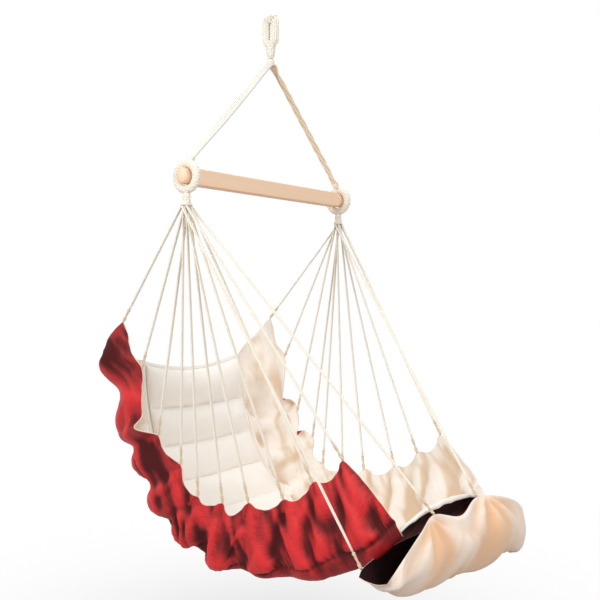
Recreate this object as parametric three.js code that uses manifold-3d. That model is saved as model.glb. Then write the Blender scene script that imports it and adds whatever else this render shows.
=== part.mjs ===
// Hammock chair with a wooden spreader bar, a cloth bucket seat and a hanging leg rest.
//
// Everything hangs from a rope eye. Two flat bundles of cord run from the knot under the eye
// to the wound rope rings at the ends of the spreader bar. Under each ring the seat cords
// leave a bound neck and fan out to the hem of the side panels. The seat is a long base panel
// with a quilted pad on it, and a gathered side panel sewn along each edge. Two more cords a
// side carry the leg rest, a sling in front of the seat.
//
// Millimetres. X runs along the spreader bar, the sitter faces -Y, +Z is up. The origin is the
// point where the hook bears, at the top of the slot in the hanging eye.

import * as THREE from "three";
import { mergeVertices } from "three/addons/utils/BufferGeometryUtils.js";
import Module from "manifold-3d";

const wasm = await Module();
wasm.setup();

// Driving dimensions

const GAP = 0.3;             // air between two pieces that touch
const SEAM_GAP = 1.5;        // nominal air along a sewn seam, where the cloth edges meet at an angle
const BAR_DROP = 551;        // hanging point down to the axis of the spreader bar

const EYE = {
  slotLength: 56,
  slotWidth: 10,
  bundle: 26,                // thickness of the bundle of cords at the eye's sides
  crown: 32,                 // its thickness at the top, where the hook bears
  neck: 18,                  // thickness of the neck under the slot
  neckEnd: 116,              // hanging point down to the end of the neck
  seizingCord: 6,
  seizingTurns: 3.9,
  seizingPitch: 6.8,
  lobeShare: 0.07,           // depth of the grooves between the cords, as a share of the radius
};

const KNOT = { diameter: 26 };

const ROPE = {
  strand: 8,
  strands: 4,
  strandGap: 0.4,
  gatherShare: 0.7,          // how far the strands draw together where the collar binds them
  collar: 24,
};

const BAR = {
  height: 50,
  depth: 38,
  edgeRadius: 4,
  ringAt: 405,               // middle of the bar to the plane of each ring
  shoulder: 16,              // ring plane back to where the square section ends
  taper: 14,                 // length over which the square section turns oval
  overhang: 27,              // ring plane out to the end of the bar
  dome: 9,
  ovalShare: 0.94,           // how nearly the oval ends round off their corners
};
// The domed end of the bar: shares of the dome's length, then of the bar's section.
const DOME_SHARES = [[0, 1], [0.55, 0.86], [0.9, 0.52], [1, 0.3]];

const RING = {
  radius: 39,                // centre of the ring to the middle of its rope
  core: 7,
  cord: 8,
  turns: 19,
  neckShare: 0.9,            // share of a turn's width that the winding keeps off the neck
};

const NECK = {
  stem: 14,
  end: 86,                   // bar axis down to the end of the neck
  cord: 7,
  turns: 2.75,
  pitch: 7.8,
  windingTop: 57.5,
  plateLength: 48,
  plateWidth: 27,
  plateThickness: 3,
};

const CORD = {
  strand: 4.8,
  pairPitch: 5.1,            // between the two strands of a doubled cord
  rowPitch: 10.2,            // between rows of cords where they leave the neck
  fanPitch: 1.75,            // step forward from one cord to the next at the neck
  rows: 3,
  gatherShare: 0.5,          // how far the pair draws together in its whipping
  whipping: 11,
  whippingLength: 52,
  tipLength: 5,
};

const CLOTH = { thickness: 3 };

// The hem of the side panels runs from the top corner of the back to the front corner.
const HEM = {
  halfWidth: 379,
  backReach: 298,
  length: 775,
  top: 435,
  fall: 535,
  scallop: 20,               // how far the hem hangs between two cords
};
// One row a cord: shares of the half width, the length and the fall.
const HEM_SHARES = [
  [1.00, 0.000, 0.000],
  [0.98, 0.098, 0.271],
  [0.96, 0.181, 0.652],
  [0.92, 0.286, 0.815],
  [0.88, 0.359, 0.985],
  [0.86, 0.477, 1.000],
  [0.84, 0.597, 0.981],
  [0.83, 0.759, 0.936],
  [0.80, 0.880, 0.828],
  [0.765, 1.000, 0.693],
];
// How deep each stretch of hem hangs, as a share of the scallop.
const SCALLOP_SHARES = [1.0, 1.5, 0.7, 0.9, 0.5, 1.8, 0.8, 0.6, 0.9];

// The middle line of the base panel runs from the top of the back to the front lip.
const BASE = {
  halfWidth: 250,
  backReach: 345,
  length: 978,
  top: 600,
  fall: 565,
  sag: 12,                   // how far the middle hangs below the seams
};
// One row opposite each cord: shares of the length and the fall.
const BASE_SHARES = [
  [0.000, 0.000],
  [0.010, 0.177],
  [0.046, 0.407],
  [0.097, 0.593],
  [0.189, 0.796],
  [0.312, 0.929],
  [0.465, 1.000],
  [0.639, 0.991],
  [0.813, 0.912],
  [1.000, 0.664],
];

const PANEL = {
  bulge: 100,                // how far the turn of the panel lies outside its seam
  flare: 26,                 // how far it leans out beyond its hem
  fold: 17,                  // depth of the folds between two cords
  cornerShare: 0.78,         // share of the drop at which the panel turns in
};
// How much of the bulge the panel has at each cord.
const BULGE_SHARES = [1.10, 0.75, 0.72, 0.90, 1.05, 1.00, 0.80, 0.62, 0.45, 0.34];
// How deep the fold of each stretch is, as a share of the fold.
const FOLD_SHARES = [2.2, 1.2, 1.0, 1.0, 1.0, 1.2, 1.0, 1.0, 1.0];

const PAD = {
  channel: 120,              // width of one quilted channel
  headLoft: 42,
  frontLoft: 18,
  seam: 5,
  inset: 14,                 // pad edge in from the panel seams
  topInset: 12,
  frontInset: 110,
  gap: 1.9,
  channelPower: 0.6,         // below one, the channels are full and their seams are narrow
  edgePower: 4,              // how abruptly the filling thins out at the pad's side edges
};

const LEGREST = {
  halfWidth: 415,
  reach: 95,                 // the seat's front lip out to the belly of the sling
  rise: 18,                  // the sling's top edge above the lip
  depth: 172,                // belly back to the rear edge
  fall: 208,
  rearShare: 0.958,          // share of the way along the base panel to where the rear edge rests
  rearGap: 2.2,
  thickness: 2,              // two layers of plain cloth
  fold: 7,
  folds: 5,                  // folds across each half of the sling
};
// Four lines across the sling, each from its middle outwards: shares of the half width,
// of the depth behind the belly, and of the fall below the top.
const SLING_SHARES = {
  topEdge: [
    [0.00, 0.22, 0.13], [0.33, 0.30, 0.00], [0.65, 0.13, 0.09], [0.92, 0.09, 0.33],
    [1.00, 0.22, 0.71],
  ],
  belly: [
    [0.00, 0.03, 0.50], [0.34, 0.03, 0.47], [0.67, 0.00, 0.50], [0.94, 0.03, 0.62],
    [1.00, 0.19, 0.81],
  ],
  bottom: [
    [0.00, 0.51, 1.00], [0.34, 0.51, 1.00], [0.67, 0.51, 0.98], [0.92, 0.42, 0.88],
    [0.975, 0.35, 0.82],
  ],
};
// The rear edge: shares of the half width, then how far it falls away from the seat, as shares
// of the depth and of the fall.
const REAR_SHARES = [
  [0.00, 0.00, 0.00], [0.34, 0.00, 0.00], [0.62, 0.01, 0.03], [0.867, 0.03, 0.13],
  [0.90, 0.12, 0.22],
];
// The point of its line, counted from the middle, to which each leg rest cord is sewn.
const SLING_CORD_POINTS = { front: 1, rear: 3 };

const FACETS = {
  eyeArc: 6,
  eyeLobes: 5,
  barCorner: 3,
  core: 24,
  coreSides: 6,
  curl: 8,
  curlSides: 5,
  perSpan: 4,
  panelRows: 6,
  baseRows: 4,
  padPerChannel: 4,
  padRows: 6,
  slingColumns: 16,
  slingRows: 8,
  cordSides: 8,
  ball: 16,
};

const COLORS = {
  rope: 0xf3ead9,
  beech: 0xf0cda6,
  red: 0xae2629,
  cream: 0xf0e6d6,
};

// Geometry helpers

const X = new THREE.Vector3(1, 0, 0);
const Y = new THREE.Vector3(0, 1, 0);
const Z = new THREE.Vector3(0, 0, 1);
const vec = (x, y, z) => new THREE.Vector3(x, y, z);
const onBar = (x, y, z) => vec(x, y, z - BAR_DROP);

function closedGeometry(points, triangles) {
  const geometry = new THREE.BufferGeometry();
  const flat = points.flatMap((point) => point.toArray());
  geometry.setAttribute("position", new THREE.Float32BufferAttribute(flat, 3));
  geometry.setIndex(triangles.flat());
  return geometry;
}

function welded(geometry) {
  const bare = geometry.clone();
  bare.deleteAttribute("normal");
  bare.deleteAttribute("uv");
  return mergeVertices(bare);
}

// A closed solid through rings with the same number of points, listed anticlockwise when seen
// from the far end, with a flat cap on each end or joined end to end.
function loft(rings, joined = false) {
  const sides = rings[0].length;
  const points = rings.flat();
  const triangles = [];
  const spans = joined ? rings.length : rings.length - 1;
  for (let i = 0; i < spans; i += 1) {
    const a = i * sides;
    const b = ((i + 1) % rings.length) * sides;
    for (let j = 0; j < sides; j += 1) {
      const k = (j + 1) % sides;
      triangles.push([a + j, a + k, b + k], [a + j, b + k, b + j]);
    }
  }
  if (!joined) {
    const last = (rings.length - 1) * sides;
    for (let j = 1; j < sides - 1; j += 1) {
      triangles.push([0, j + 1, j], [last, last + j, last + j + 1]);
    }
  }
  return closedGeometry(points, triangles);
}

// A round tube through a list of places along a formula, with frames that don't twist.
function tubeThrough(places, radius, sides, joined = false) {
  const count = places.length;
  const tangents = places.map((_, i) => {
    const before = joined ? places[(i - 1 + count) % count] : places[Math.max(i - 1, 0)];
    const after = joined ? places[(i + 1) % count] : places[Math.min(i + 1, count - 1)];
    return after.clone().sub(before).normalize();
  });
  let normal = Math.abs(tangents[0].z) < Math.SQRT1_2 ? Z.clone() : X.clone();
  const rings = places.map((place, i) => {
    normal = normal.clone().addScaledVector(tangents[i], -normal.dot(tangents[i])).normalize();
    const binormal = tangents[i].clone().cross(normal);
    return Array.from({ length: sides }, (_, j) => {
      const angle = (2 * Math.PI * j) / sides;
      return place.clone()
        .addScaledVector(normal, radius * Math.cos(angle))
        .addScaledVector(binormal, radius * Math.sin(angle));
    });
  });
  return loft(rings, joined);
}

// A taut cord: a round section extruded straight from one point to another.
function tautCord(from, to, diameter, sides) {
  const section = new THREE.Shape(
    Array.from({ length: sides }, (_, j) => {
      const angle = (2 * Math.PI * j) / sides;
      return new THREE.Vector2(Math.cos(angle), Math.sin(angle)).multiplyScalar(diameter / 2);
    }),
  );
  const path = new THREE.LineCurve3(from, to);
  return welded(new THREE.ExtrudeGeometry(section, { steps: 1, extrudePath: path, bevelEnabled: false }));
}

// The least distance between turns of a winding, measured between points more than half a
// turn apart, less the cord's own diameter.
function selfGap(places, perTurn, diameter) {
  let least = Infinity;
  for (let i = 0; i < places.length; i += 1) {
    for (let j = i + Math.ceil(perTurn / 2); j < places.length - 1; j += 1) {
      const line = new THREE.Line3(places[j], places[j + 1]);
      const near = line.closestPointToPoint(places[i], true, vec(0, 0, 0));
      least = Math.min(least, near.distanceTo(places[i]));
    }
  }
  return least - diameter;
}

function toManifold(geometry) {
  const merged = welded(geometry);
  return new wasm.Manifold(new wasm.Mesh({
    numProp: 3,
    vertProperties: new Float32Array(merged.attributes.position.array),
    triVerts: new Uint32Array(merged.index.array),
  }));
}

function joinedGeometry(...geometries) {
  const whole = geometries.map(toManifold).reduce((sum, solid) => sum.add(solid));
  const mesh = whole.getMesh();
  const geometry = new THREE.BufferGeometry();
  geometry.setAttribute("position", new THREE.BufferAttribute(new Float32Array(mesh.vertProperties), 3));
  geometry.setIndex(new THREE.BufferAttribute(new Uint32Array(mesh.triVerts), 1));
  return geometry;
}

// A cloth of even or varying thickness on a grid of middle points.
function clothSolid(grid, outward, lower, upper) {
  const rows = grid.length;
  const columns = grid[0].length;
  const normalAt = (i, j) => {
    const along = grid[Math.min(i + 1, rows - 1)][j].clone().sub(grid[Math.max(i - 1, 0)][j]);
    const across = grid[i][Math.min(j + 1, columns - 1)].clone().sub(grid[i][Math.max(j - 1, 0)]);
    return along.cross(across).normalize().multiplyScalar(outward);
  };
  const points = [];
  for (const offset of [lower, upper]) {
    for (let i = 0; i < rows; i += 1) {
      for (let j = 0; j < columns; j += 1) {
        points.push(grid[i][j].clone().addScaledVector(normalAt(i, j), offset(i, j)));
      }
    }
  }
  const at = (layer, i, j) => layer * rows * columns + i * columns + j;
  const triangles = [];
  const quad = (a, b, c, d) => triangles.push([a, b, c], [a, c, d]);
  const last = columns - 1;
  for (let i = 0; i < rows - 1; i += 1) {
    for (let j = 0; j < last; j += 1) {
      quad(at(1, i, j), at(1, i + 1, j), at(1, i + 1, j + 1), at(1, i, j + 1));
      quad(at(0, i, j), at(0, i, j + 1), at(0, i + 1, j + 1), at(0, i + 1, j));
    }
    quad(at(0, i, 0), at(0, i + 1, 0), at(1, i + 1, 0), at(1, i, 0));
    quad(at(1, i, last), at(1, i + 1, last), at(0, i + 1, last), at(0, i, last));
  }
  const foot = rows - 1;
  for (let j = 0; j < last; j += 1) {
    quad(at(1, 0, j), at(1, 0, j + 1), at(0, 0, j + 1), at(0, 0, j));
    quad(at(0, foot, j), at(0, foot, j + 1), at(1, foot, j + 1), at(1, foot, j));
  }
  if (outward < 0) triangles.forEach((t) => t.reverse());
  return closedGeometry(points, triangles);
}

const evenly = (count) => Array.from({ length: count + 1 }, (_, i) => i / count);
const mix = (a, b, share) => a + (b - a) * share;

// The group and its nodes

const chair = new THREE.Group();
const SIDES = { right: -1, left: 1 };

function addNode(name, geometry, color, roughness = 0.85) {
  const mesh = new THREE.Mesh(
    geometry,
    new THREE.MeshStandardMaterial({ color, roughness, metalness: 0 }),
  );
  mesh.name = name;
  chair.add(mesh);
}

// Hanging eye: a long loop of cords with a neck under it, bound with a seizing

function hangingEye() {
  const side = (EYE.slotWidth + EYE.bundle) / 2;
  const topArc = -EYE.slotWidth / 2;
  const bottomArc = -EYE.slotLength + EYE.slotWidth / 2;
  const places = [];
  for (let i = 0; i <= FACETS.eyeArc; i += 1) {
    const angle = (Math.PI * i) / FACETS.eyeArc;
    places.push({ y: side * Math.cos(angle), z: topArc + side * Math.sin(angle), top: Math.sin(angle) });
  }
  for (let i = 0; i <= FACETS.eyeArc; i += 1) {
    const angle = Math.PI + (Math.PI * i) / FACETS.eyeArc;
    places.push({ y: side * Math.cos(angle), z: bottomArc + side * Math.sin(angle), top: 0 });
  }
  const rings = places.map(({ y, z, top }) => {
    const middle = THREE.MathUtils.clamp(z, bottomArc, topArc);
    const out = vec(0, y, z - middle).normalize();
    const half = EYE.bundle / 2;
    const grown = (EYE.crown - EYE.bundle) * top;
    return Array.from({ length: 2 * FACETS.eyeLobes }, (_, j) => {
      const angle = (Math.PI * j) / FACETS.eyeLobes;
      const lobe = 1 - (j % 2 ? EYE.lobeShare : 0);
      const outwards = Math.cos(angle) * half * lobe;
      const place = vec(0, y, z).addScaledVector(X, -Math.sin(angle) * half * lobe);
      return place.addScaledVector(out, outwards > 0 ? outwards * (1 + grown / half) : outwards);
    });
  });
  const neckTop = bottomArc - side;
  const neck = new THREE.CylinderGeometry(EYE.neck / 2, EYE.neck / 2, EYE.neckEnd + neckTop, FACETS.ball);
  neck.rotateX(Math.PI / 2);
  neck.translate(0, 0, (neckTop - EYE.neckEnd) / 2);
  return joinedGeometry(loft(rings, true), neck);
}

// Radius of a winding's path, so that its straight steps clear the round piece inside it.
function wrapRadius(inside, cord) {
  return (inside / 2 + GAP + cord / 2) / Math.cos(Math.PI / FACETS.curl);
}

function helix(center, radius, pitch, turns, top) {
  return evenly(Math.round(turns * FACETS.curl)).map((share) => {
    const angle = 2 * Math.PI * turns * share;
    const drop = top - pitch * turns * share;
    return center.clone().add(vec(radius * Math.cos(angle), radius * Math.sin(angle), drop));
  });
}

function winding(name, places, diameter) {
  console.log(`${name}: least gap to itself ${selfGap(places, FACETS.curl, diameter).toFixed(2)} mm`);
  return tubeThrough(places, diameter / 2, FACETS.curlSides);
}

addNode("hanging_eye", hangingEye(), COLORS.rope);
{
  const radius = wrapRadius(EYE.neck, EYE.seizingCord);
  const top = -EYE.neckEnd + EYE.seizingPitch * EYE.seizingTurns + EYE.seizingCord / 2;
  const places = helix(vec(0, 0, 0), radius, EYE.seizingPitch, EYE.seizingTurns, top);
  addNode("throat_seizing", winding("throat seizing", places, EYE.seizingCord), COLORS.rope);
}

// Knot under the eye, and the two bundles of cord down to the rings

const knotCenter = vec(0, 0, -EYE.neckEnd - GAP - KNOT.diameter / 2);
{
  const ball = new THREE.SphereGeometry(KNOT.diameter / 2, FACETS.ball, FACETS.ball / 2 + 2);
  ball.rotateX(Math.PI / 2);
  ball.translate(...knotCenter.toArray());
  addNode("throat_knot", welded(ball), COLORS.rope);
}

const ringSection = wrapRadius(RING.core, RING.cord) + RING.cord / 2;   // radius of the wound rope
const ringHole = RING.radius - ringSection;
const ringDrop = ringHole - GAP - BAR.height / 2;           // the bar's end touches the top of the hole

for (const [side, sign] of Object.entries(SIDES)) {
  const ringTop = onBar(sign * BAR.ringAt, 0, RING.radius - ringDrop);
  const rise = knotCenter.clone().sub(ringTop).normalize();
  const collarCenter = ringTop.clone().addScaledVector(rise, ringSection + GAP + ROPE.collar / 2);
  const collar = new THREE.SphereGeometry(ROPE.collar / 2, FACETS.ball, FACETS.ball / 2);
  collar.translate(...collarCenter.toArray());

  const pitch = ROPE.strand + ROPE.strandGap;
  const strands = Array.from({ length: ROPE.strands }, (_, i) => {
    const offset = (i - (ROPE.strands - 1) / 2) * pitch;
    const inner = Math.abs(offset) - ROPE.strand / 2;
    const clear = Math.sqrt(Math.max((KNOT.diameter / 2 + GAP) ** 2 - inner ** 2, 0)) + GAP;
    const from = knotCenter.clone().addScaledVector(Y, offset).addScaledVector(rise, -clear);
    const to = collarCenter.clone().addScaledVector(Y, offset * ROPE.gatherShare);
    return tautCord(from, to, ROPE.strand, FACETS.cordSides);
  });
  addNode(`suspension_rope_${side}`, joinedGeometry(collar, ...strands), COLORS.rope);
}

// Spreader bar: a square-edged batten whose ends turn oval and pass through the rings

function barSection(x, halfDepth, halfHeight, radiusDepth, radiusHeight) {
  const ring = [];
  for (const [quadrant, dy, dz] of [[0, 1, 1], [1, -1, 1], [2, -1, -1], [3, 1, -1]]) {
    for (let i = 0; i <= FACETS.barCorner; i += 1) {
      const angle = (Math.PI / 2) * (quadrant + i / FACETS.barCorner);
      ring.push(onBar(
        x,
        dy * (halfDepth - radiusDepth) + radiusDepth * Math.cos(angle),
        dz * (halfHeight - radiusHeight) + radiusHeight * Math.sin(angle),
      ));
    }
  }
  return ring;
}

function spreaderBar() {
  const halfDepth = BAR.depth / 2;
  const halfHeight = BAR.height / 2;
  const square = BAR.ringAt - BAR.shoulder - BAR.taper;
  const oval = BAR.ringAt - BAR.shoulder;
  const tip = BAR.ringAt + BAR.overhang;
  const half = [[square, halfDepth, halfHeight, BAR.edgeRadius, BAR.edgeRadius]];
  const ovalDepth = halfDepth * BAR.ovalShare;
  const ovalHeight = halfHeight * BAR.ovalShare;
  half.push([oval, halfDepth, halfHeight, ovalDepth, ovalHeight]);
  for (const [along, across] of DOME_SHARES) {
    const sizes = [halfDepth, halfHeight, ovalDepth, ovalHeight].map((size) => size * across);
    half.push([tip - BAR.dome * (1 - along), ...sizes]);
  }
  const stations = [...half.map(([x, ...rest]) => [-x, ...rest]).reverse(), ...half];
  return loft(stations.map((station) => barSection(...station)));
}

addNode("spreader_bar", spreaderBar(), COLORS.beech, 0.5);

// Rings: a rope core wound with cord, with a bound neck under it that ends in a small plate

for (const [side, sign] of Object.entries(SIDES)) {
  const center = onBar(sign * BAR.ringAt, 0, -ringDrop);
  const around = (angle) => vec(0, Math.sin(angle), -Math.cos(angle));

  const corePlaces = Array.from({ length: FACETS.core }, (_, i) => (
    center.clone().addScaledVector(around((2 * Math.PI * i) / FACETS.core), RING.radius)
  ));
  const stemTop = -ringDrop - RING.radius;
  const stemLength = NECK.end + stemTop - NECK.plateThickness / 2;
  const stem = new THREE.CylinderGeometry(NECK.stem / 2, NECK.stem / 2, stemLength, FACETS.ball);
  stem.rotateX(Math.PI / 2);
  stem.translate(center.x, 0, (stemTop - NECK.end + NECK.plateThickness / 2) / 2 - BAR_DROP);
  const plate = new THREE.CylinderGeometry(1, 1, 1, 2 * FACETS.curl);
  plate.rotateX(Math.PI / 2);
  plate.scale(NECK.plateLength / 2, NECK.plateWidth / 2, NECK.plateThickness);
  plate.translate(center.x, 0, -NECK.end + NECK.plateThickness / 2 - BAR_DROP);
  const coreTube = tubeThrough(corePlaces, RING.core / 2, FACETS.coreSides, true);
  addNode(`ring_core_${side}`, joinedGeometry(coreTube, stem, plate), COLORS.rope);

  // The middle turn lies under the collar of the suspension rope.
  const path = wrapRadius(RING.core, RING.cord);
  const opening = Math.asin((NECK.stem / 2 + RING.cord * RING.neckShare) / RING.radius);
  const lean = Math.atan2(BAR.ringAt, knotCenter.z - center.z - RING.radius);
  const servingPlaces = evenly(RING.turns * FACETS.curl).map((share) => {
    const angle = mix(opening, 2 * Math.PI - opening, share);
    const turn = lean + 2 * Math.PI * RING.turns * (share - 1 / 2);
    return center.clone()
      .addScaledVector(around(angle), RING.radius + path * Math.cos(turn))
      .addScaledVector(X, -sign * path * Math.sin(turn));
  });
  const serving = winding(`ring serving ${side}`, servingPlaces, RING.cord);
  addNode(`ring_serving_${side}`, serving, COLORS.rope);

  const neckCenter = vec(center.x, 0, -BAR_DROP);
  const neckPath = wrapRadius(NECK.stem, NECK.cord);
  const neckPlaces = helix(neckCenter, neckPath, NECK.pitch, NECK.turns, -NECK.windingTop);
  const neckBinding = winding(`neck binding ${side}`, neckPlaces, NECK.cord);
  addNode(`neck_binding_${side}`, neckBinding, COLORS.rope);
}

// Seat cloth: the hem line, the middle line, and the surface between them

const hemCurve = new THREE.CatmullRomCurve3(HEM_SHARES.map(([width, along, fall]) => onBar(
  HEM.halfWidth * width,
  HEM.backReach - HEM.length * along,
  -HEM.top - HEM.fall * fall,
)));
const baseCurve = new THREE.CatmullRomCurve3(BASE_SHARES.map(([along, fall]) => onBar(
  0,
  BASE.backReach - BASE.length * along,
  -BASE.top - BASE.fall * fall,
)));
const spans = HEM_SHARES.length - 1;

// Unit normal of the base panel's middle line, pointing down and back, away from the sitter.
function baseNormal(t) {
  const tangent = baseCurve.getTangent(t);
  return vec(0, -tangent.z, tangent.y);
}

// Between two cords the cloth swells out and its hem hangs lower.
function swellAt(station) {
  return (1 - Math.cos(2 * Math.PI * station)) / 2;
}

function basePoint(station, across) {
  const t = station / spans;
  const place = baseCurve.getPoint(t);
  place.addScaledVector(baseNormal(t), BASE.sag * (1 - across ** 2));
  place.x = BASE.halfWidth * across;
  return place;
}

function panelPoint(sign, station, down) {
  const t = station / spans;
  const swell = swellAt(station);
  const span = Math.min(Math.floor(station), spans - 1);
  const hem = hemCurve.getPoint(t);
  const seam = basePoint(station, 1);
  seam.x += SEAM_GAP;
  const drop = seam.clone().sub(hem);
  drop.x = 0;
  hem.addScaledVector(drop.clone().normalize(), HEM.scallop * SCALLOP_SHARES[span] * swell);
  const corner = hem.clone().addScaledVector(drop, PANEL.cornerShare);
  corner.x = hem.x + PANEL.flare;
  const bulgeShare = mix(BULGE_SHARES[span], BULGE_SHARES[span + 1], station - span);
  corner.addScaledVector(baseNormal(t), PANEL.bulge * bulgeShare);
  const place = new THREE.QuadraticBezierCurve3(hem, corner, seam).getPoint(down);
  const ahead = new THREE.QuadraticBezierCurve3(hem, corner, seam).getTangent(down);
  const forward = baseCurve.getTangent(t);
  const out = forward.clone().cross(ahead).normalize();
  place.addScaledVector(out, PANEL.fold * FOLD_SHARES[span] * swell * Math.sin(Math.PI * down));
  return vec(sign * place.x, place.y, place.z);
}

const clothSheet = (grid, outward, thickness) => (
  clothSolid(grid, outward, () => -thickness / 2, () => thickness / 2)
);
const stations = evenly(spans * FACETS.perSpan).map((share) => share * spans);

for (const [side, sign] of Object.entries(SIDES)) {
  const grid = stations.map((station) => (
    evenly(FACETS.panelRows).map((down) => panelPoint(sign, station, down))
  ));
  addNode(`side_panel_${side}`, clothSheet(grid, sign, CLOTH.thickness), COLORS.red, 0.9);
}
{
  const grid = stations.map((station) => (
    evenly(FACETS.baseRows).map((share) => basePoint(station, 2 * share - 1))
  ));
  addNode("base_panel", clothSheet(grid, 1, CLOTH.thickness), COLORS.red, 0.9);
}

// Quilted pad on the base panel, sewn across into channels

function quiltedPad() {
  const run = baseCurve.getLength();
  const from = PAD.topInset / run;
  const to = 1 - PAD.frontInset / run;
  const channels = Math.round(((to - from) * run) / PAD.channel);
  const halfWidthShare = 1 - PAD.inset / BASE.halfWidth;
  const rows = evenly(channels * FACETS.padPerChannel);
  const columns = evenly(FACETS.padRows).map((share) => 2 * share - 1);
  const grid = rows.map((row) => {
    const t = baseCurve.getUtoTmapping(mix(from, to, row));
    return columns.map((across) => basePoint(t * spans, across * halfWidthShare));
  });
  const bed = () => CLOTH.thickness / 2 + PAD.gap;
  const crown = (i, j) => {
    const channel = Math.abs(Math.sin(Math.PI * channels * rows[i])) ** PAD.channelPower;
    const edge = 1 - columns[j] ** PAD.edgePower;
    const loft = mix(PAD.headLoft, PAD.frontLoft, rows[i]);
    return bed() + PAD.seam + (loft - PAD.seam) * channel * edge;
  };
  return clothSolid(grid, 1, bed, crown);
}

addNode("quilted_pad", quiltedPad(), COLORS.cream, 0.95);

// Leg rest: a sling of doubled cloth, from its front edge round the belly to its rear edge

// A line across the sling, mirrored about its middle. Shares of depth run from the given place
// towards the seat for a positive sense, and away from it for a negative one.
function slingLine(shares, from, sense) {
  const mirrored = shares.slice(1).map(([across, ...rest]) => [-across, ...rest]).reverse();
  return new THREE.CatmullRomCurve3([...mirrored, ...shares].map(([across, depth, fall]) => vec(
    LEGREST.halfWidth * across,
    from.y + sense * LEGREST.depth * depth,
    from.z - LEGREST.fall * fall,
  )));
}

const lip = baseCurve.getPoint(1);
const bellyTop = vec(0, lip.y - LEGREST.reach, lip.z + LEGREST.rise);
const rearDepth = BASE.sag + (CLOTH.thickness + LEGREST.thickness) / 2 + LEGREST.rearGap;
const rearAnchor = baseCurve.getPoint(LEGREST.rearShare)
  .addScaledVector(baseNormal(LEGREST.rearShare), rearDepth);
const rearLine = slingLine(REAR_SHARES, rearAnchor, -1);
const slingLines = [
  slingLine(SLING_SHARES.topEdge, bellyTop, 1),
  slingLine(SLING_SHARES.belly, bellyTop, 1),
  slingLine(SLING_SHARES.bottom, bellyTop, 1),
  rearLine,
];

function slingPoint(across, around) {
  const t = (across + 1) / 2;
  const guide = new THREE.CatmullRomCurve3(slingLines.map((line) => line.getPoint(t)));
  const place = guide.getPoint(around);
  const wave = Math.cos(LEGREST.folds * Math.PI * across);
  const fold = LEGREST.fold * Math.sin(Math.PI * around) * wave;
  place.y -= fold;
  return place;
}

{
  const grid = evenly(FACETS.slingRows).map((around) => (
    evenly(FACETS.slingColumns).map((share) => slingPoint(2 * share - 1, around))
  ));
  addNode("legrest_sling", clothSheet(grid, -1, LEGREST.thickness), COLORS.cream, 0.9);
}

// Cords: each is doubled, leaves the neck plate and ends in a whipping on the cloth's edge

function whippedCord(exit, end) {
  const along = end.clone().sub(exit).normalize();
  const top = exit.clone().addScaledVector(Z, -(CORD.strand / 2) * Math.hypot(along.x, along.y));
  const tip = end.clone().addScaledVector(along, -GAP);
  const radius = CORD.whipping / 2;
  const profile = [
    [0, 0],
    [radius, CORD.tipLength],
    [radius, CORD.whippingLength],
    [0, CORD.whippingLength],
  ].map(([r, h]) => new THREE.Vector2(r, h));
  const whipping = new THREE.LatheGeometry(profile, FACETS.cordSides);
  whipping.applyQuaternion(new THREE.Quaternion().setFromUnitVectors(Y, along.clone().negate()));
  whipping.translate(...tip.toArray());
  const foot = tip.clone().addScaledVector(along, -CORD.whippingLength + CORD.tipLength);
  const strands = [-1, 1].map((sign) => {
    const shift = vec((sign * CORD.pairPitch) / 2, 0, 0);
    const gathered = foot.clone().addScaledVector(shift, CORD.gatherShare);
    return tautCord(top.clone().add(shift), gathered, CORD.strand, FACETS.cordSides);
  });
  return joinedGeometry(whipping, ...strands);
}

for (const [side, sign] of Object.entries(SIDES)) {
  const plate = -NECK.end - GAP;
  for (let i = 0; i <= spans; i += 1) {
    const row = (i % CORD.rows) - (CORD.rows - 1) / 2;
    const top = onBar(
      sign * (BAR.ringAt - row * CORD.rowPitch),
      (spans / 2 - i) * CORD.fanPitch,
      plate,
    );
    addNode(`seat_cord_${side}_${i + 1}`, whippedCord(top, panelPoint(sign, i, 0)), COLORS.rope);
  }

  const outerRow = (CORD.rows + 1) / 2;
  const slingCords = [
    ["front", -outerRow, slingLines[0], SLING_SHARES.topEdge.length - 1],
    ["rear", outerRow, rearLine, REAR_SHARES.length - 1],
  ];
  for (const [name, row, line, lastPoint] of slingCords) {
    const top = onBar(sign * (BAR.ringAt + row * CORD.rowPitch), 0, plate - CORD.strand / 2);
    const end = line.getPoint((1 + (sign * SLING_CORD_POINTS[name]) / lastPoint) / 2);
    addNode(`legrest_cord_${side}_${name}`, whippedCord(top, end), COLORS.rope);
  }
}

export default chair;
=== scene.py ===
"""Looks of the hammock chair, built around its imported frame.

Metres, in the part's own frame: X runs along the spreader bar, the sitter faces -Y, +Z is up,
and the origin is the point where the hook bears. The spreader bar keeps its solid and gets its
wood. Every rope, cord, cloth and pad of the frame is replaced by a finer piece of the same size
and place, which rides on the same body.
"""

from __future__ import annotations

import logging
import math
from dataclasses import dataclass
from enum import Enum
from typing import Callable, Iterator, Sequence

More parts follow.
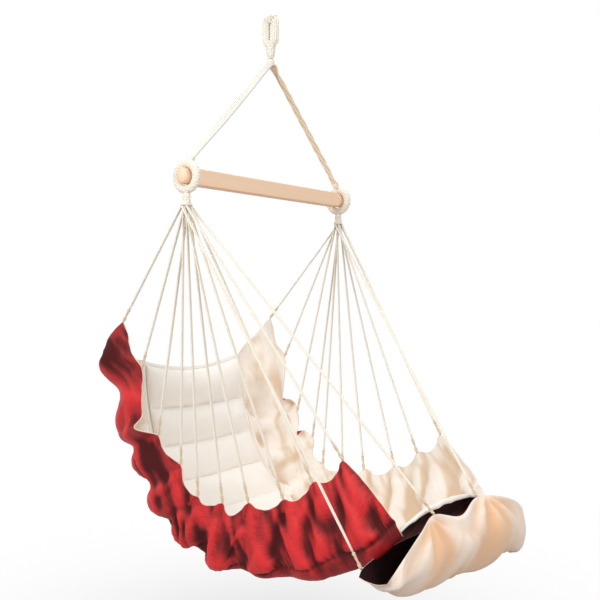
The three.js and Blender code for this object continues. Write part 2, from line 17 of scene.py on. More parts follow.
import bpy
import numpy as np
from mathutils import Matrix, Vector

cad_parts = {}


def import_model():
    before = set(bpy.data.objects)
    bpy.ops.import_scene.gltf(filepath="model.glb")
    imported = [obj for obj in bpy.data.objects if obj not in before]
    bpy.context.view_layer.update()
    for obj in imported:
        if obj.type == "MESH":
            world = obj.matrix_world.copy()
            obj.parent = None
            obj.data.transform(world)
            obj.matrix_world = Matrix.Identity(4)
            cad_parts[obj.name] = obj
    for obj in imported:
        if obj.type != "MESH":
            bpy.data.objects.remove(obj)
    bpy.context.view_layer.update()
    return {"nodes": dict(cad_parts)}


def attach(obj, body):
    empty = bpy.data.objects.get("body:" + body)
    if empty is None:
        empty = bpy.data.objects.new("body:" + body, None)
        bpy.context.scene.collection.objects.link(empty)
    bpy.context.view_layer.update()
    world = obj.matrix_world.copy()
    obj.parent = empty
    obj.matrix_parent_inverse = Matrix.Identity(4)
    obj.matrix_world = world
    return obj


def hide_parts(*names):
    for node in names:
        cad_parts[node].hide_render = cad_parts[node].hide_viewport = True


LOG = logging.getLogger("hammock_chair")
TURN = 2 * math.pi
Array = np.ndarray
Pair = tuple[float, float]
Triple = tuple[float, float, float]
Color = tuple[float, float, float, float]
Socket = bpy.types.NodeSocket
X_AXIS = np.array([1.0, 0.0, 0.0])
Y_AXIS = np.array([0.0, 1.0, 0.0])
Z_AXIS = np.array([0.0, 0.0, 1.0])
WHITE = (1.0, 1.0, 1.0, 1.0)

# Sizes that several pieces share: the air between pieces that touch, and the throat's knot
AIR = 0.0003
KNOT_WIDTH = 0.026

# The least values that anything is divided by
LEAST_KNOT = 1e-4
LEAST_RADIUS = 1e-6
LEAST_SPAN = 1e-9
LEAST_VECTOR = 1e-12


class Side(Enum):
    """The sitter's sides, with the sign of X on each."""

    RIGHT = -1
    LEFT = 1

    @property
    def label(self) -> str:
        """The side's name in the names of nodes and pieces."""
        return self.name.lower()


class Slot(Enum):
    """The material slots of the pieces that replace solids."""

    ROPE = "rope"
    RED_CLOTH = "red_cloth"
    CREAM_CLOTH = "cream_cloth"


class Cut(Enum):
    """The outside and the inside of a lined cloth, and its bound edge."""

    OUTSIDE = 0
    INSIDE = 1
    EDGE = 2


# Curves and noise


class Spline:
    """A smooth curve through places, knotted by the root of their distances."""

    def __init__(self, places: Array) -> None:
        """Keeps the places, with one more beyond each end.

        Args:
            places: The places along the first axis, each a point or a row of points.
        """
        before = 2 * places[0] - places[1]
        after = 2 * places[-1] - places[-2]
        self.places = np.concatenate([before[None], places, after[None]])
        self.spans = len(places) - 1

    def at(self, share: Array | float) -> Array:
        """Finds points on the curve.

        Args:
            share: Shares of the way from the first place to the last.

        Returns:
            One point, or row of points, for each share.
        """
        share = np.clip(np.asarray(share, float), 0, 1) * self.spans
        span = np.minimum(share.astype(int), self.spans - 1)
        p0, p1, p2, p3 = (self.places[span + k] for k in range(4))
        weight = (share - span).reshape(share.shape + (1,) * (p0.ndim - share.ndim))
        d0, d1, d2 = self._knot(p0, p1), self._knot(p1, p2), self._knot(p2, p3)
        t1 = ((p1 - p0) / d0 - (p2 - p0) / (d0 + d1) + (p2 - p1) / d1) * d1
        t2 = ((p2 - p1) / d1 - (p3 - p1) / (d1 + d2) + (p3 - p2) / d2) * d1
        square = 3 * (p2 - p1) - 2 * t1 - t2
        cube = 2 * (p1 - p2) + t1 + t2
        return p1 + t1 * weight + square * weight**2 + cube * weight**3

    @staticmethod
    def _knot(a: Array, b: Array) -> Array:
        """The step of the curve's parameter between two places."""
        return np.maximum(np.sqrt(np.linalg.norm(b - a, axis=-1, keepdims=True)), LEAST_KNOT)

    def tangent(self, share: Array | float, step: float = 1e-4) -> Array:
        """Finds the curve's direction.

        Args:
            share: Shares of the way from the first place to the last.
            step: How far before and after each share the curve is read.

        Returns:
            A unit direction for each share.
        """
        share = np.asarray(share, float)
        ahead = self.at(share + step) - self.at(share - step)
        return ahead / np.linalg.norm(ahead, axis=-1, keepdims=True)

    def by_length(self, share: Array, samples: int = 600) -> Array:
        """Turns shares of the curve's length into shares of its parameter.

        Args:
            share: Shares of the length.
            samples: How many points the length is measured with.

        Returns:
            A share of the parameter for each share of the length.
        """
        even = np.linspace(0, 1, samples)
        run = run_along(self.at(even))
        return np.interp(share, run / run[-1], even)

    def length(self, samples: int = 600) -> float:
        """The curve's length."""
        return float(run_along(self.at(np.linspace(0, 1, samples)))[-1])


class SmoothNoise:
    """Smooth noise on the plane, the same each run."""

    def __init__(self, seed: int, size: int = 64) -> None:
        """Draws the grid of values, from -1 to 1."""
        self.size = size
        self.values = np.random.default_rng(seed).uniform(-1, 1, (size, size))

    def __call__(self, x: Array, y: Array) -> Array:
        """Reads the noise, one feature a unit.

        Args:
            x: Places along the first axis of the plane.
            y: Places along the second.

        Returns:
            A value from -1 to 1 for each place.
        """
        x, y = np.broadcast_arrays(np.asarray(x, float), np.asarray(y, float))
        column, row = np.floor(x).astype(int), np.floor(y).astype(int)
        across, down = eased(x - column), eased(y - row)
        corner = [
            self.values[(row + i) % self.size, (column + j) % self.size]
            for i in (0, 1)
            for j in (0, 1)
        ]
        top = corner[0] + (corner[1] - corner[0]) * across
        low = corner[2] + (corner[3] - corner[2]) * across
        return top + (low - top) * down


def refined(grid: Array, factor: int) -> Array:
    """Adds rows and columns to a grid, smooth between the old ones.

    Args:
        grid: The values, in rows and columns.
        factor: How many new steps one old step becomes.

    Returns:
        The finer grid.
    """
    for axis in (0, 1):
        grid = np.moveaxis(grid, axis, 0)
        steps = (len(grid) - 1) * factor + 1
        grid = np.moveaxis(Spline(grid).at(np.linspace(0, 1, steps)), 0, axis)
    return grid


@dataclass(frozen=True)
class ClothRelaxer:
    """Lets a grid of cloth with too much width settle into folds, in small steps."""

    steps: int = 260
    damping: float = 0.94
    weight: float = 5e-6
    stiffness: float = 0.5
    bending: float = 0.22
    bend_room: float = 0.97
    reaches: tuple[int, ...] = (2, 4)
    smoothings: int = 1

    def settle(self, rest: Array, start: Array, wide: Array, long: Array, cap: Array) -> Array:
        """Moves the cloth.

        Args:
            rest: The smooth shape that the cloth would have without its spare width.
            start: Where its points begin.
            wide: The spare width of the cloth along the first axis, as a factor a point.
            long: The spare length along the second axis, as a factor a point.
            cap: How far each point may move from the smooth shape.

        Returns:
            Where the points come to rest.
        """
        links = list(self.links(rest, wide, long))
        points, last = start.copy(), start.copy()
        for _ in range(self.steps):
            ahead = points + (points - last) * self.damping - Z_AXIS * self.weight
            last, points = points, ahead
            for first, second, length, share, at_least in links:
                a, b = points[first], points[second]
                away = b - a
                span = np.maximum(np.linalg.norm(away, axis=-1, keepdims=True), LEAST_SPAN)
                error = span - length
                if at_least:
                    error = np.minimum(error, 0)
                shift = away / span * error * (share / 2)
                a += shift
                b -= shift
            moved = points - rest
            far = np.linalg.norm(moved, axis=-1, keepdims=True)
            points = rest + moved * np.minimum(1, cap[..., None] / np.maximum(far, LEAST_SPAN))
        moved = points - rest
        for _ in range(self.smoothings):
            for axis in (0, 1):
                near = np.moveaxis(moved, axis, 0)
                near[1:-1] = (near[:-2] + 2 * near[1:-1] + near[2:]) / 4
        return rest + moved

    def links(self, rest: Array, wide: Array, long: Array) -> Iterator[tuple]:
        """Finds the links between points, in sets that share no point.

        Args:
            rest: The cloth's smooth shape.
            wide: Its spare width, as a factor a point.
            long: Its spare length, as a factor a point.

        Yields:
            The two points' places, the link's length, its share of each step's error, and
            whether it only keeps them apart, as the cloth's stiffness does.
        """
        whole = slice(None)
        for axis, factor in ((0, wide), (1, long)):
            count = rest.shape[axis]
            for reach in (1, *self.reaches):
                for offset in range(2 * reach):
                    picks = np.arange(count - reach)
                    picks = picks[(picks // reach) % 2 == (offset // reach)]
                    picks = picks[picks % reach == offset % reach]
                    if not len(picks):
                        continue
                    begin, end = picks[0], picks[-1] + 1
                    step = 2 * reach
                    first = slice(begin, end, step)
                    second = slice(begin + reach, end + reach, step)
                    cut = (first, whole) if axis == 0 else (whole, first)
                    far = (second, whole) if axis == 0 else (whole, second)
                    length = np.linalg.norm(rest[far] - rest[cut], axis=-1, keepdims=True)
                    length = length * (factor[cut] + factor[far])[..., None] / 2
                    bend = reach > 1
                    share = self.bending if bend else 2 * self.stiffness
                    yield cut, far, length * (self.bend_room if bend else 1.0), share, bend


def unit(vectors: Array) -> Array:
    """Vectors of length one."""
    lengths = np.linalg.norm(vectors, axis=-1, keepdims=True)
    return vectors / np.maximum(lengths, LEAST_VECTOR)


def run_along(line: Array) -> Array:
    """The length along a line to each of its points."""
    steps = np.linalg.norm(np.diff(line, axis=0), axis=-1)
    return np.concatenate([[0], np.cumsum(steps)])


def paired(first: Array | float, second: Array | float) -> Array:
    """Two values for each place of a grid, side by side."""
    return np.stack(np.broadcast_arrays(first, second), -1)


def upright(x: float, heights: Array) -> Array:
    """A line straight up and down in the plane of the bar."""
    return np.stack([np.full_like(heights, x), np.zeros_like(heights), heights], -1)


def mix(a: Array | float, b: Array | float, share: Array | float) -> Array:
    """A value between two others."""
    return a + (b - a) * share


def ramp(value: Array | float, width: float, low: float = 0.0) -> Array:
    """The share of a width that a value has reached, from a least share up to one."""
    return np.clip(value / width, low, 1)


def eased(share: Array) -> Array:
    """A share that starts and ends gently."""
    return share * share * (3 - 2 * share)


def hump(value: Array, width: Array | float) -> Array:
    """A smooth bump of height one around zero."""
    return np.exp(-((value / width) ** 2))


def short_of(value: Array, width: float) -> Array:
    """One where a value is well below zero and nought where it is well above."""
    return 1 / (1 + np.exp(value / width))


def folded(turns: Array) -> Array:
    """Round ridges with tight valleys between them, from -1 to 1, one a turn."""
    roundness = 0.8
    return 2 * np.abs(np.sin(math.pi * turns)) ** roundness - 1


def creased(noise: Array, depth: float = 2.0) -> Array:
    """Noise turned into sharp ridges with wide valleys between them."""
    return 1 - depth * np.abs(noise)


# Meshes


class MeshDraft:
    """The shells of one piece, gathered before its object is made."""

    def __init__(self) -> None:
        """Starts with no faces."""
        self.points: list[Array] = []
        self.faces: list[list[int]] = []
        self.uvs: list[Sequence[float]] = []
        self.slots: list[int] = []
        self.shades: list[Array] = []
        self.count = 0

    def place(self, points: Array, shade: Array | float = 1.0) -> Array:
        """Adds points.

        Args:
            points: The points, in any shape.
            shade: The painted light at each point, from painted shade at the bottom of a fold at
                nought to a painted highlight at one.

        Returns:
            The points' numbers in the same shape.
        """
        shape = points.shape[:-1]
        numbers = self.count + np.arange(int(np.prod(shape))).reshape(shape)
        self.points.append(points.reshape(-1, 3))
        self.shades.append(np.broadcast_to(shade, shape).ravel())
        self.count += numbers.size
        return numbers

    def quads(self, numbers: Array, uv: Array, slot: int = 0, around: bool = False,
              flip: bool = False) -> None:
        """Joins a grid of points with faces.

        Args:
            numbers: The points' numbers, in rows and columns.
            uv: A place on the material for each point, with one more column when around.
            slot: Which of the piece's materials the faces take.
            around: Whether the last column joins the first.
            flip: Whether the faces turn to the other side.
        """
        rows, columns = numbers.shape
        for i in range(rows - 1):
            for j in range(columns if around else columns - 1):
                k = (j + 1) % columns
                corners = [(i, j, j), (i, k, j + 1), (i + 1, k, j + 1), (i + 1, j, j)]
                if flip:
                    corners.reverse()
                self.faces.append([int(numbers[r, c]) for r, c, _ in corners])
                self.uvs.extend(uv[r, u] for r, _, u in corners)
                self.slots.append(slot)

    def cap(self, ring: Array, slot: int = 0, flip: bool = False) -> None:
        """Closes a ring of points with one face.

        Args:
            ring: The points' numbers.
            slot: Which of the piece's materials the face takes.
            flip: Whether the face turns to the other side.
        """
        corners = [int(number) for number in (ring[::-1] if flip else ring)]
        self.faces.append(corners)
        self.uvs.extend([(0.0, 0.0)] * len(corners))
        self.slots.append(slot)

    def tube(self, path: Array, radii: Array | float, sides: int = 12, slot: int = 0,
             relief: Callable[[Array, Array], Array] | None = None, closed: bool = False,
             start: Array | None = None) -> None:
        """Adds a round tube along a path.

        Args:
            path: The points of the centreline.
            radii: Its radius, one value or one a point.
            sides: How many faces go round it.
            slot: Which of the piece's materials it takes.
            relief: Height above the radius, from the length along and the angle round.
            closed: Whether the path joins its own start.
            start: The direction from which the angle round is counted.
        """
        if closed:
            ahead = unit(np.roll(path, -1, axis=0) - np.roll(path, 1, axis=0))
        else:
            ahead = unit(np.gradient(path, axis=0))
        run = run_along(path)
        normal = Z_AXIS if start is None else start
        normals = []
        for direction in ahead:
            normal = unit(normal - direction * np.dot(normal, direction))
            normals.append(normal)
        first = np.array(normals)
        second = np.cross(ahead, first)
        angle = TURN * np.arange(sides) / sides
        radius = np.broadcast_to(np.asarray(radii, float), (len(path),))[:, None]
        height = radius + (relief(run[:, None], angle[None]) if relief else 0.0)
        points = (
            path[:, None]
            + first[:, None] * (height * np.cos(angle))[..., None]
            + second[:, None] * (height * np.sin(angle))[..., None]
        )
        numbers = self.place(points)
        turns = np.arange(sides + 1)[None] / sides
        uv = paired(run[:, None], turns)
        if closed:
            numbers = np.vstack([numbers, numbers[:1]])
            total = run[-1] + float(np.linalg.norm(path[0] - path[-1]))
            uv = np.vstack([uv, paired(total, turns)])
        self.quads(numbers, uv, slot, around=True)
        if not closed:
            self.cap(numbers[0], slot, flip=True)
            self.cap(numbers[-1], slot)

    def cloth(self, grid: Array, uv: Array, outward: float, thickness: Array | float,
              fold: Array | float = 0.0, lining: Array | None = None) -> None:
        """Adds a lined cloth with a rounded edge.

        Args:
            grid: The middle of the cloth, in rows and columns.
            uv: The place of each point on the flat cloth, in metres.
            outward: Plus or minus one, which way the outside faces.
            thickness: One value, or one a point.
            fold: How far each point stands out, from -1 in a valley to 1 on a ridge; it paints
                shade in valleys and a highlight on ridges.
            lining: The painted shade and light of the inside, where the folds don't settle it.
        """
        down = np.gradient(grid, axis=0)
        across = np.gradient(grid, axis=1)
        half = unit(np.cross(down, across)) * outward * np.asarray(thickness)[..., None] / 2
        # Painted shade in fold valleys and a painted highlight on ridges, turned the other way
        # inside
        outer = self.place(grid + half, np.clip(0.5 + 0.5 * fold, 0, 1))
        inside = 0.5 - 0.5 * fold if lining is None else lining
        inner = self.place(grid - half, np.clip(inside, 0, 1))
        self.quads(outer, uv, Cut.OUTSIDE.value)
        self.quads(inner, uv, Cut.INSIDE.value, flip=True)
        edges = [
            (np.s_[0, :], -down, False),
            (np.s_[-1, :], down, True),
            (np.s_[:, 0], -across, True),
            (np.s_[:, -1], across, False),
        ]
        for where, away, flip in edges:
            swell = unit(away[where]) * np.linalg.norm(half[where], axis=-1, keepdims=True)
            crest = self.place(grid[where] + swell)
            strip = np.stack([outer[where], crest, inner[where]])
            flat = np.stack([uv[where]] * len(strip))
            self.quads(strip, flat, Cut.EDGE.value, flip=not flip)

    def build(self, name: str, finishes: Sequence[bpy.types.Material]) -> bpy.types.Object:
        """Makes the piece's object at the origin, with its faces pointing outwards.

        Args:
            name: The piece's name.
            finishes: Its materials, in the order of the faces' slots.

        Returns:
            The object, linked to the scene.
        """
        points = np.concatenate(self.points)
        mesh = bpy.data.meshes.new(name)
        mesh.from_pydata(points.tolist(), [], self.faces)
        layer = mesh.uv_layers.new(name="cloth")
        layer.data.foreach_set("uv", np.asarray(self.uvs, np.float32).ravel())
        # The painted shade and highlight of each point, read by the cloth materials
        shades = mesh.attributes.new("shade", "FLOAT", "POINT")
        shades.data.foreach_set("value", np.concatenate(self.shades).astype(np.float32))
        mesh.polygons.foreach_set("material_index", np.asarray(self.slots, np.int32))
        mesh.polygons.foreach_set("use_smooth", np.ones(len(self.faces), bool))
        for finish in finishes:
            mesh.materials.append(finish)
        mesh.update()
        if signed_volume(mesh) < 0:
            mesh.flip_normals()
        piece = bpy.data.objects.new(name, mesh)
        bpy.context.scene.collection.objects.link(piece)
        return piece


def signed_volume(mesh: bpy.types.Mesh) -> float:
    """Measures a closed mesh.

    Args:
        mesh: The mesh.

    Returns:
        The volume inside it, below zero where its faces point inwards.
    """
    mesh.calc_loop_triangles()
    corners = np.empty(len(mesh.loop_triangles) * 3, np.int32)
    mesh.loop_triangles.foreach_get("vertices", corners)
    places = np.empty(len(mesh.vertices) * 3, np.float32)
    mesh.vertices.foreach_get("co", places)
    a, b, c = places.reshape(-1, 3).astype(float)[corners.reshape(-1, 3)].transpose(1, 0, 2)
    return float((a * np.cross(b, c)).sum() / 6)


def settle(piece: bpy.types.Object, body: str, slot: Slot, *nodes: str) -> None:
    """Lets a piece ride on a body and stand for nodes of the frame.

    Args:
        piece: The piece.
        body: The body that it moves with.
        slot: The slot of its finish; not used.
        nodes: The nodes whose solids it replaces.
    """
    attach(piece, body)
    if nodes:
        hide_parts(*nodes)
    LOG.info("%s rides on %s, %d faces", piece.name, body, len(piece.data.polygons))


# Finishes


class NodeSheet:
    """The nodes of a material or of the world, added and joined by name."""

    def __init__(self, owner: bpy.types.Material | bpy.types.World) -> None:
        """Starts with the nodes that every material or world has.

        Args:
            owner: The material or the world.
        """
        owner.use_nodes = True
        self.owner = owner
        self.nodes = owner.node_tree.nodes
        self.links = owner.node_tree.links

    @property
    def shader(self) -> bpy.types.Node:
        """A material's plain shader."""
        return self.nodes["Principled BSDF"]

    def add(self, kind: str, inputs: dict | None = None, **settings: object) -> bpy.types.Node:
        """Adds a node.

        Args:
            kind: The node's type, without ShaderNode.
            inputs: A value or another node's output for each input, by name or number.
            settings: Values of the node's own properties.

        Returns:
            The new node.
        """
        node = self.nodes.new(f"ShaderNode{kind}")
        for name, value in settings.items():
            setattr(node, name, value)
        for name, value in (inputs or {}).items():
            self.feed(node.inputs[name], value)
        return node

    def feed(self, socket: Socket, value: object) -> None:
        """Joins another node's output to a socket, or sets the socket's own value."""
        if isinstance(value, Socket):
            self.links.new(value, socket)
        else:
            socket.default_value = value

    def shade(self, **inputs: object) -> None:
        """Sets or joins the shader's own sockets, with underscores for spaces."""
        for name, value in inputs.items():
            self.feed(self.shader.inputs[name.replace("_", " ")], value)

    def math(self, operation: str, *values: object) -> Socket:
        """The result of one sum or function of values and outputs."""
        return self.add("Math", dict(enumerate(values)), operation=operation).outputs[0]

    def blend(self, share: object, a: object, b: object) -> Socket:
        """A colour between two others."""
        return self.add("Mix", {0: share, 6: a, 7: b}, data_type="RGBA").outputs[2]

    def turn_between(self, share: object, a: object, b: object) -> Socket:
        """A direction between two others."""
        return self.add("Mix", {0: share, 4: a, 5: b}, data_type="VECTOR").outputs[1]

    def ramp(self, value: Socket, ends: Pair, top: float = 1.0,
             smooth: bool = False) -> Socket:
        """A share that rises from nought to its top between two ends of a value.

        Args:
            value: The value.
            ends: Where the share starts to rise and where it is at its top.
            top: The share's top.
            smooth: Whether it starts and ends gently.

        Returns:
            The share.
        """
        inputs = {0: value, 1: ends[0], 2: ends[1], 3: 0.0, 4: top}
        kind = "SMOOTHSTEP" if smooth else "LINEAR"
        return self.add("MapRange", inputs, interpolation_type=kind).outputs[0]

    def noise(self, where: Socket, scale: float, detail: float,
              distortion: float = 0.0) -> Socket:
        """Smooth noise at each place, from nought to one."""
        inputs = {"Vector": where, "Scale": scale, "Detail": detail, "Distortion": distortion}
        return self.add("TexNoise", inputs).outputs["Fac"]

    def stretch(self, where: Socket,
                scale: Triple) -> Socket:
        """Places stretched along each axis."""
        return self.add("Mapping", {"Vector": where, "Scale": Vector(scale)}).outputs[0]

    def parts(self, vector: Socket) -> bpy.types.NodeOutputs:
        """A vector's X, Y and Z."""
        return self.add("SeparateXYZ", {"Vector": vector}).outputs

    def relief(self, height: Socket, strength: float, distance: float,
               **inputs: object) -> Socket:
        """Normals that follow a height too small to model."""
        inputs = {"Height": height, "Strength": strength, "Distance": distance, **inputs}
        return self.add("Bump", inputs).outputs["Normal"]

    def weighted(self, base: Socket,
                 *more: tuple[Socket, float]) -> Socket:
        """A value with weighted shares of others added to it."""
        for value, weight in more:
            base = self.math("ADD", base, self.math("MULTIPLY", value, weight))
        return base

    def whiten(self, share: Socket, plain: Socket,
               white: Socket, output: str) -> None:
        """Mixes a shader with a white one and joins them to an output.

        Args:
            share: The white one's share.
            plain: The shader.
            white: The white one.
            output: The output node's name.
        """
        join = self.add("MixShader", {0: share, 1: plain, 2: white})
        self.links.new(join.outputs[0], self.nodes[output].inputs["Surface"])

    def background_rays(self) -> Socket:
        """Picks the rays that see the backdrop as white: the camera's, gloss and glass.

        Returns:
            One for those rays and nought for the others.
        """
        rays = self.add("LightPath").outputs
        seen = self.math("MAXIMUM", rays["Is Camera Ray"], rays["Is Glossy Ray"])
        return self.math("MAXIMUM", seen, rays["Is Transmission Ray"])

    def on_cloth(self) -> Socket:
        """Places on the piece's own flat pattern, in metres."""
        return self.add("UVMap", uv_map="cloth").outputs["UV"]

    def on_object(self) -> Socket:
        """Places in the part's frame, in metres."""
        return self.add("TexCoord").outputs["Object"]


SHEEN_ROUGHNESS = 0.5


@dataclass(frozen=True)
class Canvas:
    """Plain-woven cotton cloth, its weave on the piece's flat pattern, with painted shade and
    highlights on its folds.
    """

    name: str
    # The colours: the brightest, reached on fold ridges, is a painted highlight; shade is a
    # darker tone for painted shade and random tone; valley is painted shade in fold valleys
    color: Color
    shade: Color
    valley: Color
    thread: float = 0.0016
    slubs: Triple = (30.0, 520.0, 1.0)
    slub_height: float = 0.8
    mottle: float = 9.0
    # Shares of random tone and of the painted fold light, and the shade values over which the
    # painted valley shade fades
    noise_share: float = 0.30
    fold_share: float = 0.40
    tones: Pair = (0.40, 0.68)
    valleys: Pair = (0.05, 0.60)
    roughness: float = 0.86
    sheen: float = 0.25
    specular: float = 0.2
    bump: float = 0.00035
    bump_strength: float = 0.6

    def build(self) -> bpy.types.Material:
        """Makes the material.

        Returns:
            The material.
        """
        sheet = NodeSheet(bpy.data.materials.new(self.name))
        flat = sheet.on_cloth()
        place = sheet.parts(flat)
        weave = sheet.math(
            "MULTIPLY", self._threads(sheet, place["X"]), self._threads(sheet, place["Y"])
        )
        broad = sheet.noise(sheet.on_object(), self.mottle, 4.0)
        slubs = sheet.noise(sheet.stretch(flat, self.slubs), 1.0, 2.0)
        # Painted light from the folds: shade in valleys, a highlight on ridges; the noise adds
        # random tone
        fold = sheet.add("Attribute", attribute_name="shade").outputs["Fac"]
        share = sheet.math("MULTIPLY", broad, self.noise_share)
        share = sheet.weighted(share, (slubs, self.noise_share), (fold, self.fold_share))
        cloth = sheet.blend(sheet.ramp(share, self.tones), self.shade, self.color)
        lit = sheet.ramp(fold, self.valleys, smooth=True)
        height = sheet.weighted(weave, (slubs, self.slub_height))
        sheet.shade(
            Base_Color=sheet.blend(lit, self.valley, cloth),
            Normal=sheet.relief(height, self.bump_strength, self.bump),
            Roughness=sheet.math("MULTIPLY_ADD", lit, self.roughness - 1.0, 1.0),
            Sheen_Weight=self.sheen,
            Sheen_Roughness=SHEEN_ROUGHNESS,
            Specular_IOR_Level=self.specular,
        )
        return sheet.owner

    def _threads(self, sheet: NodeSheet, along: Socket) -> Socket:
        """The rise and fall of the threads that cross one direction."""
        phase = sheet.math("MULTIPLY", along, TURN / self.thread)
        return sheet.math("MULTIPLY_ADD", sheet.math("SINE", phase), 0.5, 0.5)


@dataclass(frozen=True)
class CottonCord:
    """Laid cotton cord. Its strands wind round on the tube's own length and angle, with painted
    shade between them.
    """

    name: str
    color: Color = (0.97, 0.93, 0.85, 1.0)
    # Painted shade in the grooves between the strands
    groove_shade: Color = (0.90, 0.79, 0.62, 1.0)
    strands: int = 3
    lay: float = 0.030
    crest_share: float = 0.75
    tone: float = 14.0
    tone_share: float = 0.5
    fuzz: float = 900.0
    fuzz_height: float = 0.15
    bump: float = 0.0003
    bump_strength: float = 0.7
    roughness: float = 0.9
    sheen: float = 0.3
    specular: float = 0.15

    def build(self) -> bpy.types.Material:
        """Makes the material.

        Returns:
            The material.
        """
        sheet = NodeSheet(bpy.data.materials.new(self.name))
        place = sheet.parts(sheet.on_cloth())
        along = sheet.math("MULTIPLY", place["X"], 1 / self.lay)
        phase = sheet.math("ADD", along, place["Y"])
        wave = sheet.math("SINE", sheet.math("MULTIPLY", phase, TURN * self.strands))
        crest = sheet.math("MULTIPLY_ADD", wave, 0.5, 0.5)
        where = sheet.on_object()
        fuzz = sheet.noise(where, self.fuzz, 3.0)
        tone = sheet.noise(where, self.tone, 2.0)
        # Painted shade in the grooves, and random tone
        share = sheet.math("MULTIPLY", crest, self.crest_share)
        share = sheet.weighted(share, (tone, self.tone_share))
        height = sheet.weighted(crest, (fuzz, self.fuzz_height))
        sheet.shade(
            Base_Color=sheet.blend(share, self.groove_shade, self.color),
            Normal=sheet.relief(height, self.bump_strength, self.bump),
            Roughness=self.roughness,
            Sheen_Weight=self.sheen,
            Sheen_Roughness=SHEEN_ROUGHNESS,
            Specular_IOR_Level=self.specular,
        )
        return sheet.owner


@dataclass(frozen=True)
class Beech:
    """Pale sanded beech with its grain along X, short darker flecks and painted shade on its
    underside.
    """

    name: str
    light: Color = (0.99, 0.71, 0.50, 1.0)
    dark: Color = (0.94, 0.64, 0.44, 1.0)
    # Painted shade on faces that point down
    below: Color = (0.90, 0.55, 0.34, 1.0)
    grain: Triple = (0.6, 60.0, 75.0)
    grain_scale: float = 3.0
    grain_wander: float = 0.4
    bands: Pair = (0.35, 0.70)
    band_share: float = 0.55
    pores: Triple = (60.0, 900.0, 900.0)
    flecks: Pair = (0.60, 0.72)
    fleck_share: float = 0.35
    shaded_facing_down: Pair = (-0.25, -0.75)
    round_ends: Pair = (0.375, 0.389)
    dome_from: float = 0.421
    dome: Triple = (0.011, 0.019, 0.025)
    bump: float = 0.0003
    bump_strength: float = 0.25
    roughness: float = 0.48
    specular: float = 0.35

    def build(self) -> bpy.types.Material:
        """Makes the material.

        Returns:
            The material.
        """
        sheet = NodeSheet(bpy.data.materials.new(self.name))
        where = sheet.on_object()
        long = sheet.stretch(where, self.grain)
        grain = sheet.noise(long, self.grain_scale, 6.0, self.grain_wander)
        pores = sheet.noise(sheet.stretch(where, self.pores), 1.0, 2.0)
        bands = sheet.ramp(grain, self.bands, self.band_share)
        flecks = sheet.ramp(pores, self.flecks, self.fleck_share)
        wood = sheet.blend(sheet.math("MAXIMUM", bands, flecks), self.light, self.dark)
        flat = sheet.add("NewGeometry").outputs["True Normal"]
        # Painted shade: faces that point down take the darker below colour
        down = sheet.ramp(sheet.parts(flat)["Z"], self.shaded_facing_down)
        ends = self._round_ends(sheet, where, flat)
        sheet.shade(
            Base_Color=sheet.blend(down, wood, self.below),
            Normal=sheet.relief(pores, self.bump_strength, self.bump, Normal=ends),
            Roughness=self.roughness,
            Specular_IOR_Level=self.specular,
        )
        return sheet.owner

    def _round_ends(self, sheet: NodeSheet, where: Socket,
                    flat: Socket) -> Socket:
        """Finds normals that are flat along the batten and round on its oval, domed ends.

        Args:
            sheet: The material's nodes.
            where: Places in the part's frame.
            flat: The faces' own normals.

        Returns:
            The normals.
        """
        place = sheet.parts(where)
        reach = sheet.math("ABSOLUTE", place["X"])
        length, depth, height = self.dome
        past = sheet.math("MAXIMUM", sheet.math("SUBTRACT", reach, self.dome_from), 0.0)
        past = sheet.math("MULTIPLY", past, sheet.math("SIGN", place["X"]))
        level = sheet.math("ADD", place["Z"], BarPlace().drop)
        oval = sheet.add("CombineXYZ", {
            "X": sheet.math("DIVIDE", past, length**2),
            "Y": sheet.math("DIVIDE", place["Y"], depth**2),
            "Z": sheet.math("DIVIDE", level, height**2),
        })
        turned = sheet.add(
            "VectorTransform", {"Vector": oval.outputs[0]},
            vector_type="NORMAL", convert_from="OBJECT", convert_to="WORLD",
        )
        return sheet.turn_between(sheet.ramp(reach, self.round_ends), flat, turned.outputs[0])


@dataclass(frozen=True)
class Backdrop:
    """A floor that looks white, with a painted shadow pool under the chair in which its real
    shadow also shows.
    """

    name: str
    color: Color = (0.42, 0.41, 0.40, 1.0)
    roughness: float = 0.9
    specular: float = 0.1
    # The painted shadow pool: its width, and how much of the plain floor shows in its middle
    pool: float = 0.8
    kept: float = 0.27

    def build(self) -> bpy.types.Material:
        """Makes the material.

        Returns:
            The material.
        """
        sheet = NodeSheet(bpy.data.materials.new(self.name))
        sheet.shade(
            Base_Color=self.color, Roughness=self.roughness, Specular_IOR_Level=self.specular
        )
        where = sheet.on_object()
        # Painted shadow: round the middle the camera sees less white and more plain floor,
        # darker even where no shadow falls
        away = sheet.add("VectorMath", {0: where}, operation="LENGTH").outputs["Value"]
        far = sheet.math("POWER", sheet.math("DIVIDE", away, self.pool), 2.0)
        shadow = sheet.math("EXPONENT", sheet.math("MULTIPLY", far, -1.0))
        bare = sheet.math("MULTIPLY_ADD", shadow, -self.kept, 1.0)
        share = sheet.math("MULTIPLY", sheet.background_rays(), bare)
        white = sheet.add("Emission", {"Color": WHITE, "Strength": 1.0}).outputs[0]
        sheet.whiten(share, sheet.shader.outputs[0], white, "Material Output")
        return sheet.owner


